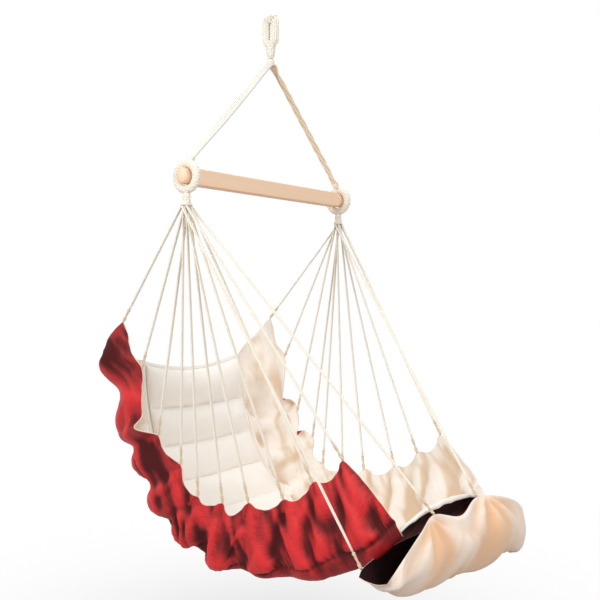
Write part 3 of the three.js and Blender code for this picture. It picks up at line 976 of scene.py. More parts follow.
class Finishes:
    """Every finish of the chair, built once."""

    def __init__(self) -> None:
        """Builds the materials."""
        self.cord = CottonCord("cotton_cord").build()
        # One cord in two copies: the right one greyer, painted shade, and the left one warmer,
        # painted warm light
        self.strand = {
            Side.RIGHT: CottonCord(
                "bundle_cord", (0.84, 0.82, 0.77, 1.0), (0.76, 0.73, 0.66, 1.0),
                lay=0.034, bump=0.00015,
            ).build(),
            Side.LEFT: CottonCord(
                "laid_bundle_cord", (0.99, 0.86, 0.68, 1.0), (0.94, 0.70, 0.46, 1.0),
                lay=0.034, bump=0.00015,
            ).build(),
        }
        self.whipping = CottonCord(
            "cord_whipping", (0.84, 0.71, 0.52, 1.0), (0.50, 0.35, 0.20, 1.0),
            strands=2, lay=0.012,
        ).build()
        self.braid = CottonCord(
            "braided_rope", (0.94, 0.89, 0.79, 1.0), (0.86, 0.77, 0.63, 1.0),
            strands=1, lay=0.007, bump=0.0002,
        ).build()
        self.beech = Beech("beech").build()
        # The bright red, reached on fold ridges, is a painted highlight; the darker tones are
        # painted shade and random tone
        self.red = Canvas(
            "red_canvas", (0.74, 0.028, 0.030, 1.0), (0.190, 0.008, 0.010, 1.0),
            (0.080, 0.008, 0.009, 1.0), roughness=0.48, sheen=0.0, specular=0.30,
        ).build()
        # A darker copy of the red canvas for the sling's inside: painted shade
        self.lining = Canvas(
            "shaded_lining", (0.42, 0.013, 0.017, 1.0), (0.22, 0.007, 0.010, 1.0),
            (0.020, 0.006, 0.008, 1.0), roughness=0.8, sheen=0.0, specular=0.1,
        ).build()
        # Its valley colour is painted tan shade in the folds
        self.cream = Canvas(
            "cream_canvas", (0.95, 0.90, 0.84, 1.0), (0.91, 0.84, 0.76, 1.0),
            (0.76, 0.59, 0.43, 1.0),
        ).build()
        # A warmer copy of the cream canvas: painted warm shade, strongest in its shade and
        # valley colours
        self.sling = Canvas(
            "sling_canvas", (0.98, 0.86, 0.76, 1.0), (0.95, 0.69, 0.50, 1.0),
            (0.92, 0.57, 0.34, 1.0),
        ).build()
        self.edge = Canvas(
            "cloth_edge", (0.84, 0.68, 0.58, 1.0), (0.74, 0.55, 0.45, 1.0),
            (0.60, 0.40, 0.30, 1.0),
        ).build()

    def lined_red(self) -> list[bpy.types.Material]:
        """Red outside and cream inside, with a bound edge."""
        return [self.red, self.cream, self.edge]

    def lined_cream(self) -> list[bpy.types.Material]:
        """Cream outside with painted warm shade, and red inside in painted shade, with a bound
        edge.
        """
        return [self.sling, self.lining, self.edge]


# Rope work above the seat


@dataclass(frozen=True)
class Braid:
    """The relief of a braided or served rope, on its length and its angle round."""

    strands: int
    lay: float
    depth: float
    crossed: bool = True

    def __call__(self, along: Array, angle: Array) -> Array:
        """Finds the height above the radius.

        Args:
            along: Lengths along the rope.
            angle: Angles round it.

        Returns:
            A height for each length and angle, nought on a strand and less beside it.
        """
        rising = np.abs(np.sin((self.strands * angle + TURN * along / self.lay) / 2))
        if not self.crossed:
            return self.depth * (rising - 1)
        falling = np.abs(np.sin((self.strands * angle - TURN * along / self.lay) / 2))
        return self.depth * (np.maximum(rising, falling) - 1)


@dataclass(frozen=True)
class HangingEye:
    """The rope eye that hangs on the hook, with its braided throat and knot."""

    slot_length: float = 0.056
    slot_width: float = 0.010
    bundle: float = 0.026
    crown: float = 0.032
    steps: int = 96

    # The cords laid round the eye over a plain core, and the lashing over its crown
    cord: float = 0.0068
    cord_sides: int = 8
    ring_cords: int = 9
    core_inset: float = 0.55
    core_sides: int = 10
    wrap: float = 0.0042
    wrap_sides: int = 7
    wrap_steps: int = 70
    wrap_turns: int = 3
    wrap_lift: float = 0.35
    wrap_ends: Pair = (52, 128)

    # The braided throat, which starts inside the eye and narrows to its foot
    neck_end: float = 0.116
    throat_width: float = 0.027
    throat_start: float = 0.55
    throat_gap: float = 0.0005
    throat_steps: int = 80
    throat_radii: Pair = (0.62, 0.46)
    throat_dip: float = 0.004
    throat_dip_reach: float = 0.12
    throat_braid: Braid = Braid(6, 0.021, 0.0032)

    # The knot, a braided ball
    knot: float = KNOT_WIDTH
    knot_steps: int = 40
    knot_pole: float = 0.02
    knot_braid: Braid = Braid(6, 0.016, 0.0026)
    braid_sides: int = 48

    @property
    def side(self) -> float:
        """How far the bundle's middle lies from the slot's."""
        return (self.slot_width + self.bundle) / 2

    def loop(self, count: int) -> tuple[Array, Array]:
        """Finds the middle line of the eye's bundle.

        Args:
            count: How many places it has.

        Returns:
            The places, and at each the direction away from the slot.
        """
        side = self.side
        top, bottom = -self.slot_width / 2, -self.slot_length + self.slot_width / 2
        straight = top - bottom
        total = 2 * straight + TURN * side
        places, away = [], []
        for run in np.linspace(0, total, count, endpoint=False):
            half, rest = divmod(run, total / 2)
            sense = 1 if half == 0 else -1
            if rest < math.pi * side:
                angle = rest / side
                out = np.array([0.0, math.cos(angle), math.sin(angle)]) * sense
                height = top if half == 0 else bottom
            else:
                out = np.array([0.0, -1.0, 0.0]) * sense
                travel = rest - math.pi * side
                height = top - travel if half == 0 else bottom + travel
            places.append(Z_AXIS * height + out * side)
            away.append(out)
        return np.array(places), np.array(away)

    def build(self, finishes: Finishes) -> None:
        """Makes the eye, its throat and the knot under it."""
        draft = MeshDraft()
        places, away = self.loop(self.steps)
        ring = self.bundle / 2 - self.cord / 2
        crown = (self.crown - self.bundle) * np.clip(away[:, 2:], 0, 1)
        core = self.bundle / 2 - self.cord * self.core_inset
        draft.tube(places, core, self.core_sides, closed=True, start=X_AXIS)
        for number in range(self.ring_cords):
            angle = TURN * number / self.ring_cords
            outward = away * (ring * math.cos(angle) + crown * max(math.cos(angle), 0))
            path = places + outward + X_AXIS * ring * math.sin(angle)
            draft.tube(path, self.cord / 2, self.cord_sides, closed=True, start=X_AXIS)
        for sense in (-1, 1):
            draft.tube(self.crossing(sense), self.wrap / 2, self.wrap_sides)
        piece = draft.build("rope_eye", [finishes.cord])
        settle(piece, "eye", Slot.ROPE, "hanging_eye")
        self.build_throat(finishes)
        self.build_knot(finishes)

    def crossing(self, sense: int) -> Array:
        """Finds the path of a lashing that winds over the crown of the eye.

        Args:
            sense: Plus or minus one, which way it winds.

        Returns:
            The path's points.
        """
        share = np.linspace(0, 1, self.wrap_steps)
        first, last = (math.radians(end) for end in self.wrap_ends)
        angle = mix(first, last, share)
        turn = TURN * self.wrap_turns * share * sense
        radius = self.bundle / 2 + self.wrap * self.wrap_lift
        out = np.stack([np.zeros_like(angle), np.cos(angle), np.sin(angle)], -1)
        middle = -Z_AXIS * self.slot_width / 2 + out * (
            self.side + (self.crown - self.bundle) / 2
        )
        return (
            middle
            + out * (radius * np.cos(turn))[:, None]
            + X_AXIS * (radius * np.sin(turn))[:, None]
        )

    def build_throat(self, finishes: Finishes) -> None:
        """Makes the braided throat."""
        start = -self.slot_length - self.bundle * self.throat_start
        heights = np.linspace(start, -self.neck_end + self.throat_gap, self.throat_steps)
        share = (heights - start) / (heights[-1] - start)
        first, last = self.throat_radii
        radii = mix(self.throat_width * first, self.throat_width * last, share)
        radii = radii - self.throat_dip * hump(share - 1, self.throat_dip_reach)
        draft = MeshDraft()
        draft.tube(
            upright(0.0, heights), radii, self.braid_sides,
            relief=self.throat_braid, start=X_AXIS,
        )
        throat = draft.build("braided_throat", [finishes.braid])
        settle(throat, "eye", Slot.ROPE, "throat_seizing")

    def build_knot(self, finishes: Finishes) -> None:
        """Makes the knot."""
        center = -self.neck_end - AIR - self.knot / 2
        angle = np.linspace(self.knot_pole, math.pi - self.knot_pole, self.knot_steps)
        draft = MeshDraft()
        draft.tube(
            upright(0.0, center + self.knot / 2 * np.cos(angle)),
            self.knot / 2 * np.sin(angle), self.braid_sides,
            relief=lambda along, turn: self.knot_braid(along, turn) * np.sin(angle)[:, None],
            start=X_AXIS,
        )
        knot = draft.build("throat_knot_braid", [finishes.braid])
        settle(knot, "knot", Slot.ROPE, "throat_knot")


@dataclass(frozen=True)
class BarPlace:
    """Where the spreader bar, its rings and the knot above them are."""

    drop: float = 0.551
    ring_at: float = 0.405
    ring_radius: float = 0.039
    rope_radius: float = 0.01244
    ring_drop: float = 0.00126
    neck_end: float = 0.086
    knot: float = 0.1293

    def on_bar(self, x: float, y: float, z: float) -> Array:
        """A place given from the middle of the bar's axis."""
        return np.array([x, y, z - self.drop])


@dataclass(frozen=True)
class SuspensionRope:
    """A flat bundle of cords from the knot down to a ring, bound at its foot."""

    bar: BarPlace
    strand: float = 0.0081
    strand_sides: int = 12
    strand_steps: int = 60
    strands: int = 4
    pitch: float = 0.0084
    gather: float = 0.7
    knot: float = KNOT_WIDTH

    # The right bundle lies flat and leans; the left one is laid up like a rope
    lean: float = 0.22
    ramps: Pair = (0.40, 0.14)
    twists: float = 2.4
    laid_radius: float = 0.0058

    # The braided collar at the foot
    collar: float = 0.024
    collar_length: float = 0.98
    collar_steps: int = 44
    collar_end: float = 0.02
    collar_roundness: float = 0.75
    collar_braid: Braid = Braid(8, 0.012, 0.0022)

    def build(self, side: Side, finishes: Finishes) -> None:
        """Makes the bundle and its collar.

        Args:
            side: The sitter's side on which it hangs.
            finishes: The chair's finishes.
        """
        bar = self.bar
        knot = -Z_AXIS * bar.knot
        ring_top = bar.on_bar(side.value * bar.ring_at, 0, bar.ring_radius - bar.ring_drop)
        rise = unit(knot - ring_top)
        collar = ring_top + rise * (bar.rope_radius + AIR + self.collar / 2)
        draft = MeshDraft()
        for number in range(self.strands):
            path = self.strand_path(number, side, knot, collar, rise)
            draft.tube(path, self.strand / 2, self.strand_sides, start=Y_AXIS)
        # Each side's copy of the cord carries its own painted light: shade on the right, warm
        # light on the left
        ropes = draft.build(f"rope_bundle_{side.label}", [finishes.strand[side]])
        settle(ropes, "suspension", Slot.ROPE, f"suspension_rope_{side.label}")

        draft = MeshDraft()
        share = np.linspace(-0.5, 0.5, self.collar_steps)
        path = collar + rise * (share * (self.collar * self.collar_length))[:, None]
        round_off = np.sqrt(np.clip(1 - (2 * share) ** 2, self.collar_end, 1))
        radii = self.collar / 2 * round_off**self.collar_roundness
        draft.tube(path, radii, self.collar_steps, relief=self.collar_braid, start=Y_AXIS)
        piece = draft.build(f"rope_collar_{side.label}", [finishes.braid])
        settle(piece, "suspension", Slot.ROPE)

    def strand_path(self, number: int, side: Side, knot: Array, collar: Array,
                    rise: Array) -> Array:
        """Finds the path of one cord of the bundle.

        Args:
            number: Which cord it is, from nought.
            side: The bundle's side.
            knot: The knot's middle.
            collar: The collar's middle.
            rise: The bundle's direction upwards.

        Returns:
            The path's points, from the knot down.
        """
        offset = (number - (self.strands - 1) / 2) * self.pitch
        inner = max(abs(offset) - self.strand / 2, 0.0)
        clear = math.sqrt(max((self.knot / 2) ** 2 - inner**2, 0)) + 2 * AIR
        steps = np.linspace(0, 1, self.strand_steps)[:, None]
        start = knot - rise * clear + Y_AXIS * offset
        end = collar + Y_AXIS * offset * self.gather
        path = start + (end - start) * steps
        away = path - (knot + (collar - knot) * steps)
        side_way = unit(np.cross(rise, Y_AXIS))
        free = eased(ramp(np.minimum(steps, 1 - steps), self.ramps[side is Side.LEFT]))
        if side is Side.RIGHT:
            lean = self.lean * free
            turned = (Y_AXIS * np.cos(lean) + side_way * np.sin(lean)) * offset
        else:
            angle = TURN * (number / self.strands + self.twists * steps)
            turned = (Y_AXIS * np.cos(angle) + side_way * np.sin(angle)) * self.laid_radius
        flat = Y_AXIS * np.sum(away * Y_AXIS, axis=-1, keepdims=True)
        return path + (turned - flat) * free


@dataclass(frozen=True)
class RopeRing:
    """A served rope ring round the bar's end, with the bound neck under it."""

    bar: BarPlace
    steps: int = 260
    sides: int = 40
    serving_turns: int = 17
    serving_strands: int = 6
    serving_depth: float = 0.0030

    # The neck starts inside the ring's rope and flares into a plate for the cords
    neck_start: float = 0.6
    neck_steps: int = 70
    neck_sides: int = 48
    neck_width: float = 0.024
    neck_dip: float = 0.002
    neck_dip_at: float = 0.08
    neck_dip_reach: float = 0.1
    neck_braid: Braid = Braid(7, 0.017, 0.0030)
    flare_from: float = 0.62
    flare_span: float = 0.38
    flare_power: float = 1.6
    plate_length: float = 0.048
    plate_width: float = 0.027

    def build(self, side: Side, finishes: Finishes) -> None:
        """Makes the ring and its neck.

        Args:
            side: The sitter's side on which it hangs.
            finishes: The chair's finishes.
        """
        bar = self.bar
        center = bar.on_bar(side.value * bar.ring_at, 0, -bar.ring_drop)
        angle = np.linspace(0, TURN, self.steps, endpoint=False)
        path = center + bar.ring_radius * np.stack(
            [0 * angle, np.sin(angle), -np.cos(angle)], -1
        )
        lay = TURN * bar.ring_radius / self.serving_turns
        draft = MeshDraft()
        draft.tube(
            path, bar.rope_radius, self.sides, closed=True, start=X_AXIS,
            relief=Braid(self.serving_strands, lay, self.serving_depth),
        )
        ring = draft.build(f"rope_ring_{side.label}", [finishes.braid])
        settle(ring, "seat", Slot.ROPE, f"ring_serving_{side.label}")
        self.build_neck(side, center[0], finishes)

    def build_neck(self, side: Side, middle: float, finishes: Finishes) -> None:
        """Makes the braided neck.

        Args:
            side: The ring's side.
            middle: The ring's place along the bar.
            finishes: The chair's finishes.
        """
        bar = self.bar
        top = -bar.ring_drop - bar.ring_radius - bar.rope_radius * self.neck_start
        heights = np.linspace(top, -bar.neck_end, self.neck_steps)
        share = (heights - top) / (heights[-1] - top)
        flare = ramp(share - self.flare_from, self.flare_span) ** self.flare_power
        radii = mix(self.neck_width / 2, self.plate_width / 2, flare)
        radii = radii - self.neck_dip * hump(share - self.neck_dip_at, self.neck_dip_reach)
        draft = MeshDraft()
        path = upright(middle, heights - bar.drop)
        draft.tube(path, radii, self.neck_sides, relief=self.neck_braid, start=X_AXIS)
        points = draft.points[0]
        spread = mix(1.0, self.plate_length / self.plate_width, flare)
        spread = np.repeat(spread, self.neck_sides)
        points[:, 0] = middle + (points[:, 0] - middle) * spread
        neck = draft.build(f"neck_braid_{side.label}", [finishes.braid])
        nodes = (f"ring_core_{side.label}", f"neck_binding_{side.label}")
        settle(neck, "seat", Slot.ROPE, *nodes)


# The seat's cloth


@dataclass(frozen=True)
class SeatForm:
    """The surfaces of the seat's cloth: the hem, the base panel and the side panels."""

    bar: BarPlace = BarPlace()
    hem_half_width: float = 0.379
    hem_back: float = 0.298
    hem_length: float = 0.775
    hem_top: float = 0.435
    hem_fall: float = 0.535
    scallop: float = 0.020
    base_half_width: float = 0.250
    base_back: float = 0.345
    base_length: float = 0.978
    base_top: float = 0.600
    base_fall: float = 0.565
    sag: float = 0.012
    corner_lift: float = 0.034
    lift_reach: float = 0.13
    lip_arch: float = 0.042
    arch_reach: float = 0.055
    pouch: float = 0.024
    corner_drop: float = 0.010
    seam_gap: float = 0.0015
    bulge: float = 0.100
    flare: float = 0.026
    fold: float = 0.010
    corner_share: float = 0.78
    front: Pair = (0.72, 0.28)
    hem_shares: tuple[Triple, ...] = (
        (1.00, 0.000, 0.000), (0.98, 0.098, 0.271), (0.96, 0.181, 0.652),
        (0.92, 0.286, 0.815), (0.88, 0.359, 0.985), (0.86, 0.477, 1.000),
        (0.84, 0.597, 0.981), (0.83, 0.759, 0.936), (0.80, 0.880, 0.828),
        (0.765, 1.000, 0.693),
    )
    base_shares: tuple[Pair, ...] = (
        (0.000, 0.000), (0.010, 0.177), (0.046, 0.407),
        (0.097, 0.593), (0.189, 0.796), (0.312, 0.929),
        (0.465, 1.000), (0.639, 0.991), (0.813, 0.912),
        (1.000, 0.664),
    )
    scallop_shares: tuple[float, ...] = (1.0, 1.5, 0.7, 0.9, 0.5, 1.8, 0.8, 0.6, 0.9)
    bulge_shares: tuple[float, ...] = (
        1.10, 0.75, 0.72, 0.90, 1.05, 1.00, 0.80, 0.62, 0.45, 0.34,
    )
    fold_shares: tuple[float, ...] = (2.4, 1.8, 1.3, 1.3, 1.2, 1.3, 1.0, 1.0, 1.0)

    @property
    def spans(self) -> int:
        """How many stretches of hem lie between the cords."""
        return len(self.hem_shares) - 1

    @property
    def hem_line(self) -> Spline:
        """The hem of the left side, without its scallops."""
        return Spline(np.array([
            self.bar.on_bar(
                self.hem_half_width * width,
                self.hem_back - self.hem_length * along,
                -self.hem_top - self.hem_fall * fall,
            )
            for width, along, fall in self.hem_shares
        ]))

    @property
    def base_line(self) -> Spline:
        """The middle of the base panel, from the top of the back to the lip."""
        return Spline(np.array([
            self.bar.on_bar(
                0.0,
                self.base_back - self.base_length * along,
                -self.base_top - self.base_fall * fall,
            )
            for along, fall in self.base_shares
        ]))

    def base_normal(self, share: Array) -> Array:
        """The direction down and back, away from the sitter."""
        ahead = self.base_line.tangent(share)
        return np.stack([0 * ahead[..., 0], -ahead[..., 2], ahead[..., 1]], -1)

    def base_point(self, share: Array, across: Array) -> Array:
        """Finds points of the base panel.

        Args:
            share: Shares of the way from the top of the back to the lip.
            across: Shares of the half width, below zero on the right.

        Returns:
            A point for each pair of shares.
        """
        share, across = np.broadcast_arrays(share, across)
        middle = self.base_line.at(share)
        points = middle + self.base_normal(share) * (self.sag * (1 - across**2))[..., None]
        points[..., 0] = self.base_half_width * across
        points[..., 2] += self.corner_lift * across**2 * hump(share, self.lift_reach)
        arch = self.lip_arch * (1 - across**2) * hump(1 - share, self.arch_reach)
        points[..., 2] += arch - self.corner_drop * across**4 * self.front_share(share)
        return points

    def front_share(self, share: Array) -> Array:
        """How far a place lies in the front part of the seat, from nought to one."""
        start, span = self.front
        return eased(ramp(share - start, span))

    def panel_frame(self, station: Array, down: Array) -> tuple[Array, Array, Array]:
        """Points of the left side panel and the directions in which its folds stand.

        Args:
            station: Places along the hem, one a cord, down the first axis.
            down: Shares of the way from the hem to the seam, along the second axis.

        Returns:
            The points, their outward directions, and the panel's depth at each station.
        """
        station, down = station[:, None], down[None, :, None]
        share = station[:, 0] / self.spans
        swell = (1 - np.cos(TURN * station)) / 2
        span = np.minimum(station[:, 0].astype(int), self.spans - 1)
        hem = self.hem_line.at(share)
        seam = self.base_point(share, np.ones_like(share))
        seam[:, 0] += self.seam_gap
        drop = (seam - hem) * (Y_AXIS + Z_AXIS)
        depth = np.linalg.norm(drop, axis=-1)
        scallops = np.array(self.scallop_shares)[span, None]
        hem = hem + unit(drop) * self.scallop * scallops * swell
        bulges = np.array(self.bulge_shares)
        share_here = mix(bulges[span], bulges[span + 1], station[:, 0] - span)[:, None]
        corner = hem + drop * self.corner_share
        corner[:, 0] = hem[:, 0] + self.flare
        corner = corner + self.base_normal(share) * self.bulge * share_here
        a, b, c = hem[:, None], corner[:, None], seam[:, None]
        points = a * (1 - down) ** 2 + b * 2 * down * (1 - down) + c * down**2
        ahead = unit((b - a) * (1 - down) + (c - b) * down)
        forward = self.base_line.tangent(share)[:, None]
        out = unit(np.cross(forward, ahead))
        folds = np.array(self.fold_shares)[span, None] * swell * self.fold
        points = points + out * folds[:, None] * np.sin(math.pi * down)
        pouch = self.pouch * self.front_share(share)[:, None]
        pouch = pouch * np.sin(math.pi * down[..., 0] ** 2)
        points = points + self.base_normal(share)[:, None] * pouch[..., None]
        return points, out, depth


@dataclass(frozen=True)
class PanelGrid:
    """A side panel before its folds: places along it in rows, the way down in columns."""

    station: Array
    down: Array
    points: Array
    out: Array
    depth: Array
    run: Array
    past: Array

    @property
    def fall(self) -> Array:
        """The length of cloth from the hem down to each point."""
        return self.down * self.depth

    @property
    def rise(self) -> Array:
        """The length of cloth from the seam up to each point."""
        return (1 - self.down) * self.depth

    @property
    def to_end(self) -> Array:
        """How many stretches of hem lie between each place and the nearer end."""
        return np.minimum(self.station, self.station[-1] - self.station)


@dataclass(frozen=True)
class SidePanel:
    """A gathered side panel: red canvas lined with cream, hung from its cords."""

    form: SeatForm
    columns_a_span: int = 20
    rows: int = 54
    refine: int = 2
    thickness: float = 0.0024
    hem_width: float = 0.018
    hem_extra: float = 0.5
    middle: float = 1.40

    # The share of the way down at which the cloth is gathered, at each cord
    gather_shares: tuple[float, ...] = (1.0, 1.0, 0.95, 0.87, 0.78, 0.70, 0.63, 0.58, 0.54, 0.52)
    sewn_width: float = 0.008
    sewn_depth: float = 0.0070
    unsewn_from: float = 0.97

    # How the smooth panel curls over, reaches forward and stands out at the back
    curl_span: int = 1
    curl_power: float = 4.0
    curl_depth: float = 0.060
    curl: Triple = (0.050, 0.030, 0.0)
    flips: tuple[float, ...] = (1.50, 2.42)
    flip_width: float = 0.14
    flip_depth: float = 0.012
    flip: Triple = (-0.020, 0.0, -0.036)
    front_width: float = 0.7
    front_power: float = 0.75
    front_reaches: Pair = (0.040, 0.010)
    wing_at: float = 0.24
    wing_reach: float = 0.22
    wing: float = 0.026

    # Spare cloth: more toward the gather, and none of it at the back
    full_from: float = 1.2
    full_span: float = 2.8
    least_full: float = 0.10
    spare_hem: float = 0.05
    spare_crease: float = 0.20
    spare_reach: float = 0.10
    spare_below: float = 0.02
    spare_back: float = 0.035

    # How far the cloth may move while it settles: less at its edges, cords and gather
    cap: float = 0.015
    hem_cap: float = 0.40
    hem_room: float = 0.05
    sewn_cap: float = 0.5
    seam_room: float = 0.03
    crease_cap: float = 0.45
    crease_room: float = 0.07
    band_cap: float = 0.16
    back_cap: float = 0.50
    back_room: Pair = (2, 3)
    end_cap: float = 0.12
    end_room: float = 0.25
    cord_room: float = 0.2
    cord_depth: float = 0.02

    # The folds that the settling starts from
    radiating: float = 0.0026
    valley: float = 0.0080
    valley_sides: Pair = (0.026, 0.014)
    hanging: float = 0.0040
    wrinkle: float = 0.0012
    pleat: float = 0.0055
    pleat_pitch: float = 0.030
    pleat_reaches: Pair = (0.034, 0.009)
    above_reach: float = 0.010

    # The relief added after it: short pleats, creases and upright folds at the back
    short_pleat: float = 0.0034
    short_pitch: float = 0.017
    short_reaches: Pair = (0.026, 0.008)
    crumple: float = 0.0038
    fine_crumple: float = 0.0014
    crumple_below: float = 0.3
    slant: float = 0.38
    far_crumple: float = 0.6
    back_fold: float = 0.0042
    back_pitch: float = 0.058

    # Painted shade and highlight from the folds' height, and painted shade along the gather's
    # stitching and in the band below it
    full_fold: float = 0.0095
    sewn_shade: float = 0.6
    band_shade: float = 0.12
    band_reach: float = 0.006
    fine_shade: float = 1.8

    def build(self, side: Side, finishes: Finishes) -> None:
        """Makes one panel.

        Args:
            side: The sitter's side.
            finishes: The chair's finishes.
        """
        grid = self.grid(side)
        sewn = self.sewn(grid.past, grid.station)
        points = grid.points - grid.out * (self.sewn_depth * sewn)[..., None]
        seeds = self.relief(grid, points, side)
        full = ramp(grid.station - self.full_from, self.full_span, self.least_full)
        long = 1 + self.spare_back * (1 - full) * np.ones_like(grid.down)
        nearing = mix(self.spare_hem, self.spare_crease, np.exp(grid.past / self.spare_reach))
        wide = 1 + full * np.where(grid.past < 0, nearing, self.spare_below)
        cap = self.room(grid, sewn)
        smooth, start = points, points + grid.out * seeds[..., None]
        points = ClothRelaxer().settle(smooth, start, wide, long, cap)
        # The shade attribute: painted shade in valleys, along the stitching and in the band
        # below the gather, and a painted highlight on ridges
        fold = np.sum((points - smooth) * grid.out, axis=-1) / self.full_fold
        fold = fold - self.sewn_shade * sewn
        fold = fold - self.band_shade * short_of(-grid.past, self.band_reach)

        flat = paired(grid.run, grid.fall)
        points, uv, out = (refined(each, self.refine) for each in (points, flat, grid.out))
        slack = (1 - full) * np.ones_like(cap)
        fold, past, cap, slack = (
            refined(each[..., None], self.refine)[..., 0]
            for each in (fold, grid.past, cap, slack)
        )
        fine = self.fine_relief(points, uv, past, slack, side)
        fine = fine * ramp(cap, self.cap * self.band_cap)
        points = points + unit(out) * fine[..., None]
        # The fine relief adds its own painted shade and highlight
        fold = fold + self.fine_shade * fine / self.full_fold
        points[..., 0] *= side.value
        thickness = self.thickness * (1 + self.hem_extra * (uv[..., 1] < self.hem_width))
        draft = MeshDraft()
        draft.cloth(points, uv, side.value, thickness, fold)
        piece = draft.build(f"side_cloth_{side.label}", finishes.lined_red())
        settle(piece, "seat", Slot.RED_CLOTH, f"side_panel_{side.label}")

    def grid(self, side: Side) -> PanelGrid:
        """Finds the smooth panel, with its curls and reaches, as if it were the left one.

        Args:
            side: The panel's side, which has its own curls and reaches.

        Returns:
            The panel's grid.
        """
        form = self.form
        station = np.linspace(0, form.spans, form.spans * self.columns_a_span + 1)
        down = np.linspace(0, 1, self.rows + 1)
        points, out, depth = form.panel_frame(station, down)
        run = run_along(points[:, self.rows // 2])[:, None]
        station, down, depth = station[:, None], down[None], depth[:, None]
        fall = down * depth
        turned = np.clip(station - self.curl_span, 0, 1) ** self.curl_power
        curl = np.sin(math.pi * turned) ** 2 * np.exp(-fall / self.curl_depth)
        points = points + curl[..., None] * np.array(self.curl)
        if side is Side.LEFT:
            over = sum(hump(station - place, self.flip_width) for place in self.flips)
            over = over * np.exp(-fall / self.flip_depth)
            points = points + over[..., None] * np.array(self.flip)
        front = hump(form.spans - station, self.front_width)
        front = front * np.sin(math.pi * down**self.front_power)
        points[..., 1] -= self.front_reaches[side is Side.LEFT] * front
        wing = hump(station - self.wing_at, self.wing_reach) * np.sin(math.pi * down)
        points = points + out * (self.wing * wing)[..., None]
        past = (down - self.crease_at(station)) * depth
        return PanelGrid(station, down, points, out, depth, run, past)

    def crease_at(self, station: Array) -> Array:
        """The share of the way down at which the cloth is gathered, for each place."""
        return np.interp(station, np.arange(self.form.spans + 1), self.gather_shares)

    def sewn(self, past: Array, station: Array) -> Array:
        """How near each point lies to the gather's stitching, up to one."""
        return hump(past, self.sewn_width) * (self.crease_at(station) < self.unsewn_from)

    def room(self, grid: PanelGrid, sewn: Array) -> Array:
        """Finds how far each point may move while the cloth settles.

        Args:
            grid: The panel.
            sewn: How near each point lies to the gather's stitching.

        Returns:
            A length for each point.
        """
        start, span = self.back_room
        loose = mix(self.back_cap, 1, ramp(grid.station - start, span))
        room = self.cap * ramp(grid.fall, self.hem_room, self.hem_cap)
        room = room * (1 - self.sewn_cap * sewn) * loose * ramp(grid.rise, self.seam_room)
        above = mix(self.crease_cap, 1, ramp(-grid.past, self.crease_room))
        room = room * np.where(grid.past > 0, self.band_cap, above)
        ends = ramp(grid.to_end, self.end_room, self.end_cap)
        cords = ramp(np.abs(grid.station - np.round(grid.station)), self.cord_room)
        return room * ends * np.where(grid.fall < self.cord_depth, cords, 1)

    def fine_relief(self, points: Array, uv: Array, past: Array, slack: Array,
                    side: Side) -> Array:
        """Finds the pleats and creases that are finer than the settled folds.

        Args:
            points: The settled panel's points.
            uv: Their places on the flat cloth.
            past: How far each lies below the gather.
            slack: How little spare width the cloth has there, up to one.
            side: The panel's side, which picks its noise.

        Returns:
            A height for each point.
        """
        noise = SmoothNoise(61 if side is Side.RIGHT else 73)
        along, level = uv[..., 0], points[..., 2] + self.middle
        turns = along / self.short_pitch + 0.9 * noise(along / 0.06, past / 0.04)
        uneven = 0.5 + 0.5 * noise(along / 0.05, 3.5)
        near = np.exp(-np.abs(past) / np.where(past < 0, *self.short_reaches))
        pleats = self.short_pleat * folded(turns) * uneven * near
        lean = points[..., 1] + (0.25 * noise(along / 0.25, 8.5) - self.slant) * level
        ridged = creased(noise(lean / 0.034, level / 0.12))
        finer = creased(noise(lean / 0.018 + 7.7, level / 0.07))
        creases = self.crumple * ridged + self.fine_crumple * finer
        creases = creases * mix(self.crumple_below, 1.0, short_of(past, 0.012))
        creases = creases * (1 - 0.5 * slack)
        if side is Side.LEFT:
            creases = creases * self.far_crumple
        back = creased(noise(lean / self.back_pitch + 3.3, level / 0.34), 2.4)
        return pleats + creases + self.back_fold * back * slack

    def relief(self, grid: PanelGrid, points: Array, side: Side) -> Array:
        """Finds the folds that the cloth settles from.

        Args:
            grid: The panel.
            points: Its points, drawn in along the gather.
            side: The panel's side, which picks its noise.

        Returns:
            A height for each point.
        """
        noise = SmoothNoise(11 if side is Side.RIGHT else 23)
        s, fall, past = grid.station, grid.fall, grid.past
        above = short_of(past, self.above_reach)
        height = self.pulled_folds(s, points, noise) * above
        height += self.hanging_folds(points, grid.down, noise) * above
        pleats = folded(grid.run / self.pleat_pitch + 0.5 * noise(s * 6.0, fall * 4.0))
        strength = (0.65 + 0.35 * noise(s * 4.0, 7.5)) * ramp(s, 3.5, 0.25)
        upper, lower = self.pleat_reaches
        fade = np.where(past < 0, np.exp(past / upper), np.exp(-past / lower))
        height += self.pleat * pleats * strength * fade
        height += self.wrinkle * noise(grid.run / 0.030, fall / 0.045)
        edge = ramp(fall, 0.035) * ramp(grid.rise, 0.012)
        return height * edge * (0.35 + 0.65 * ramp(grid.to_end, 0.15))

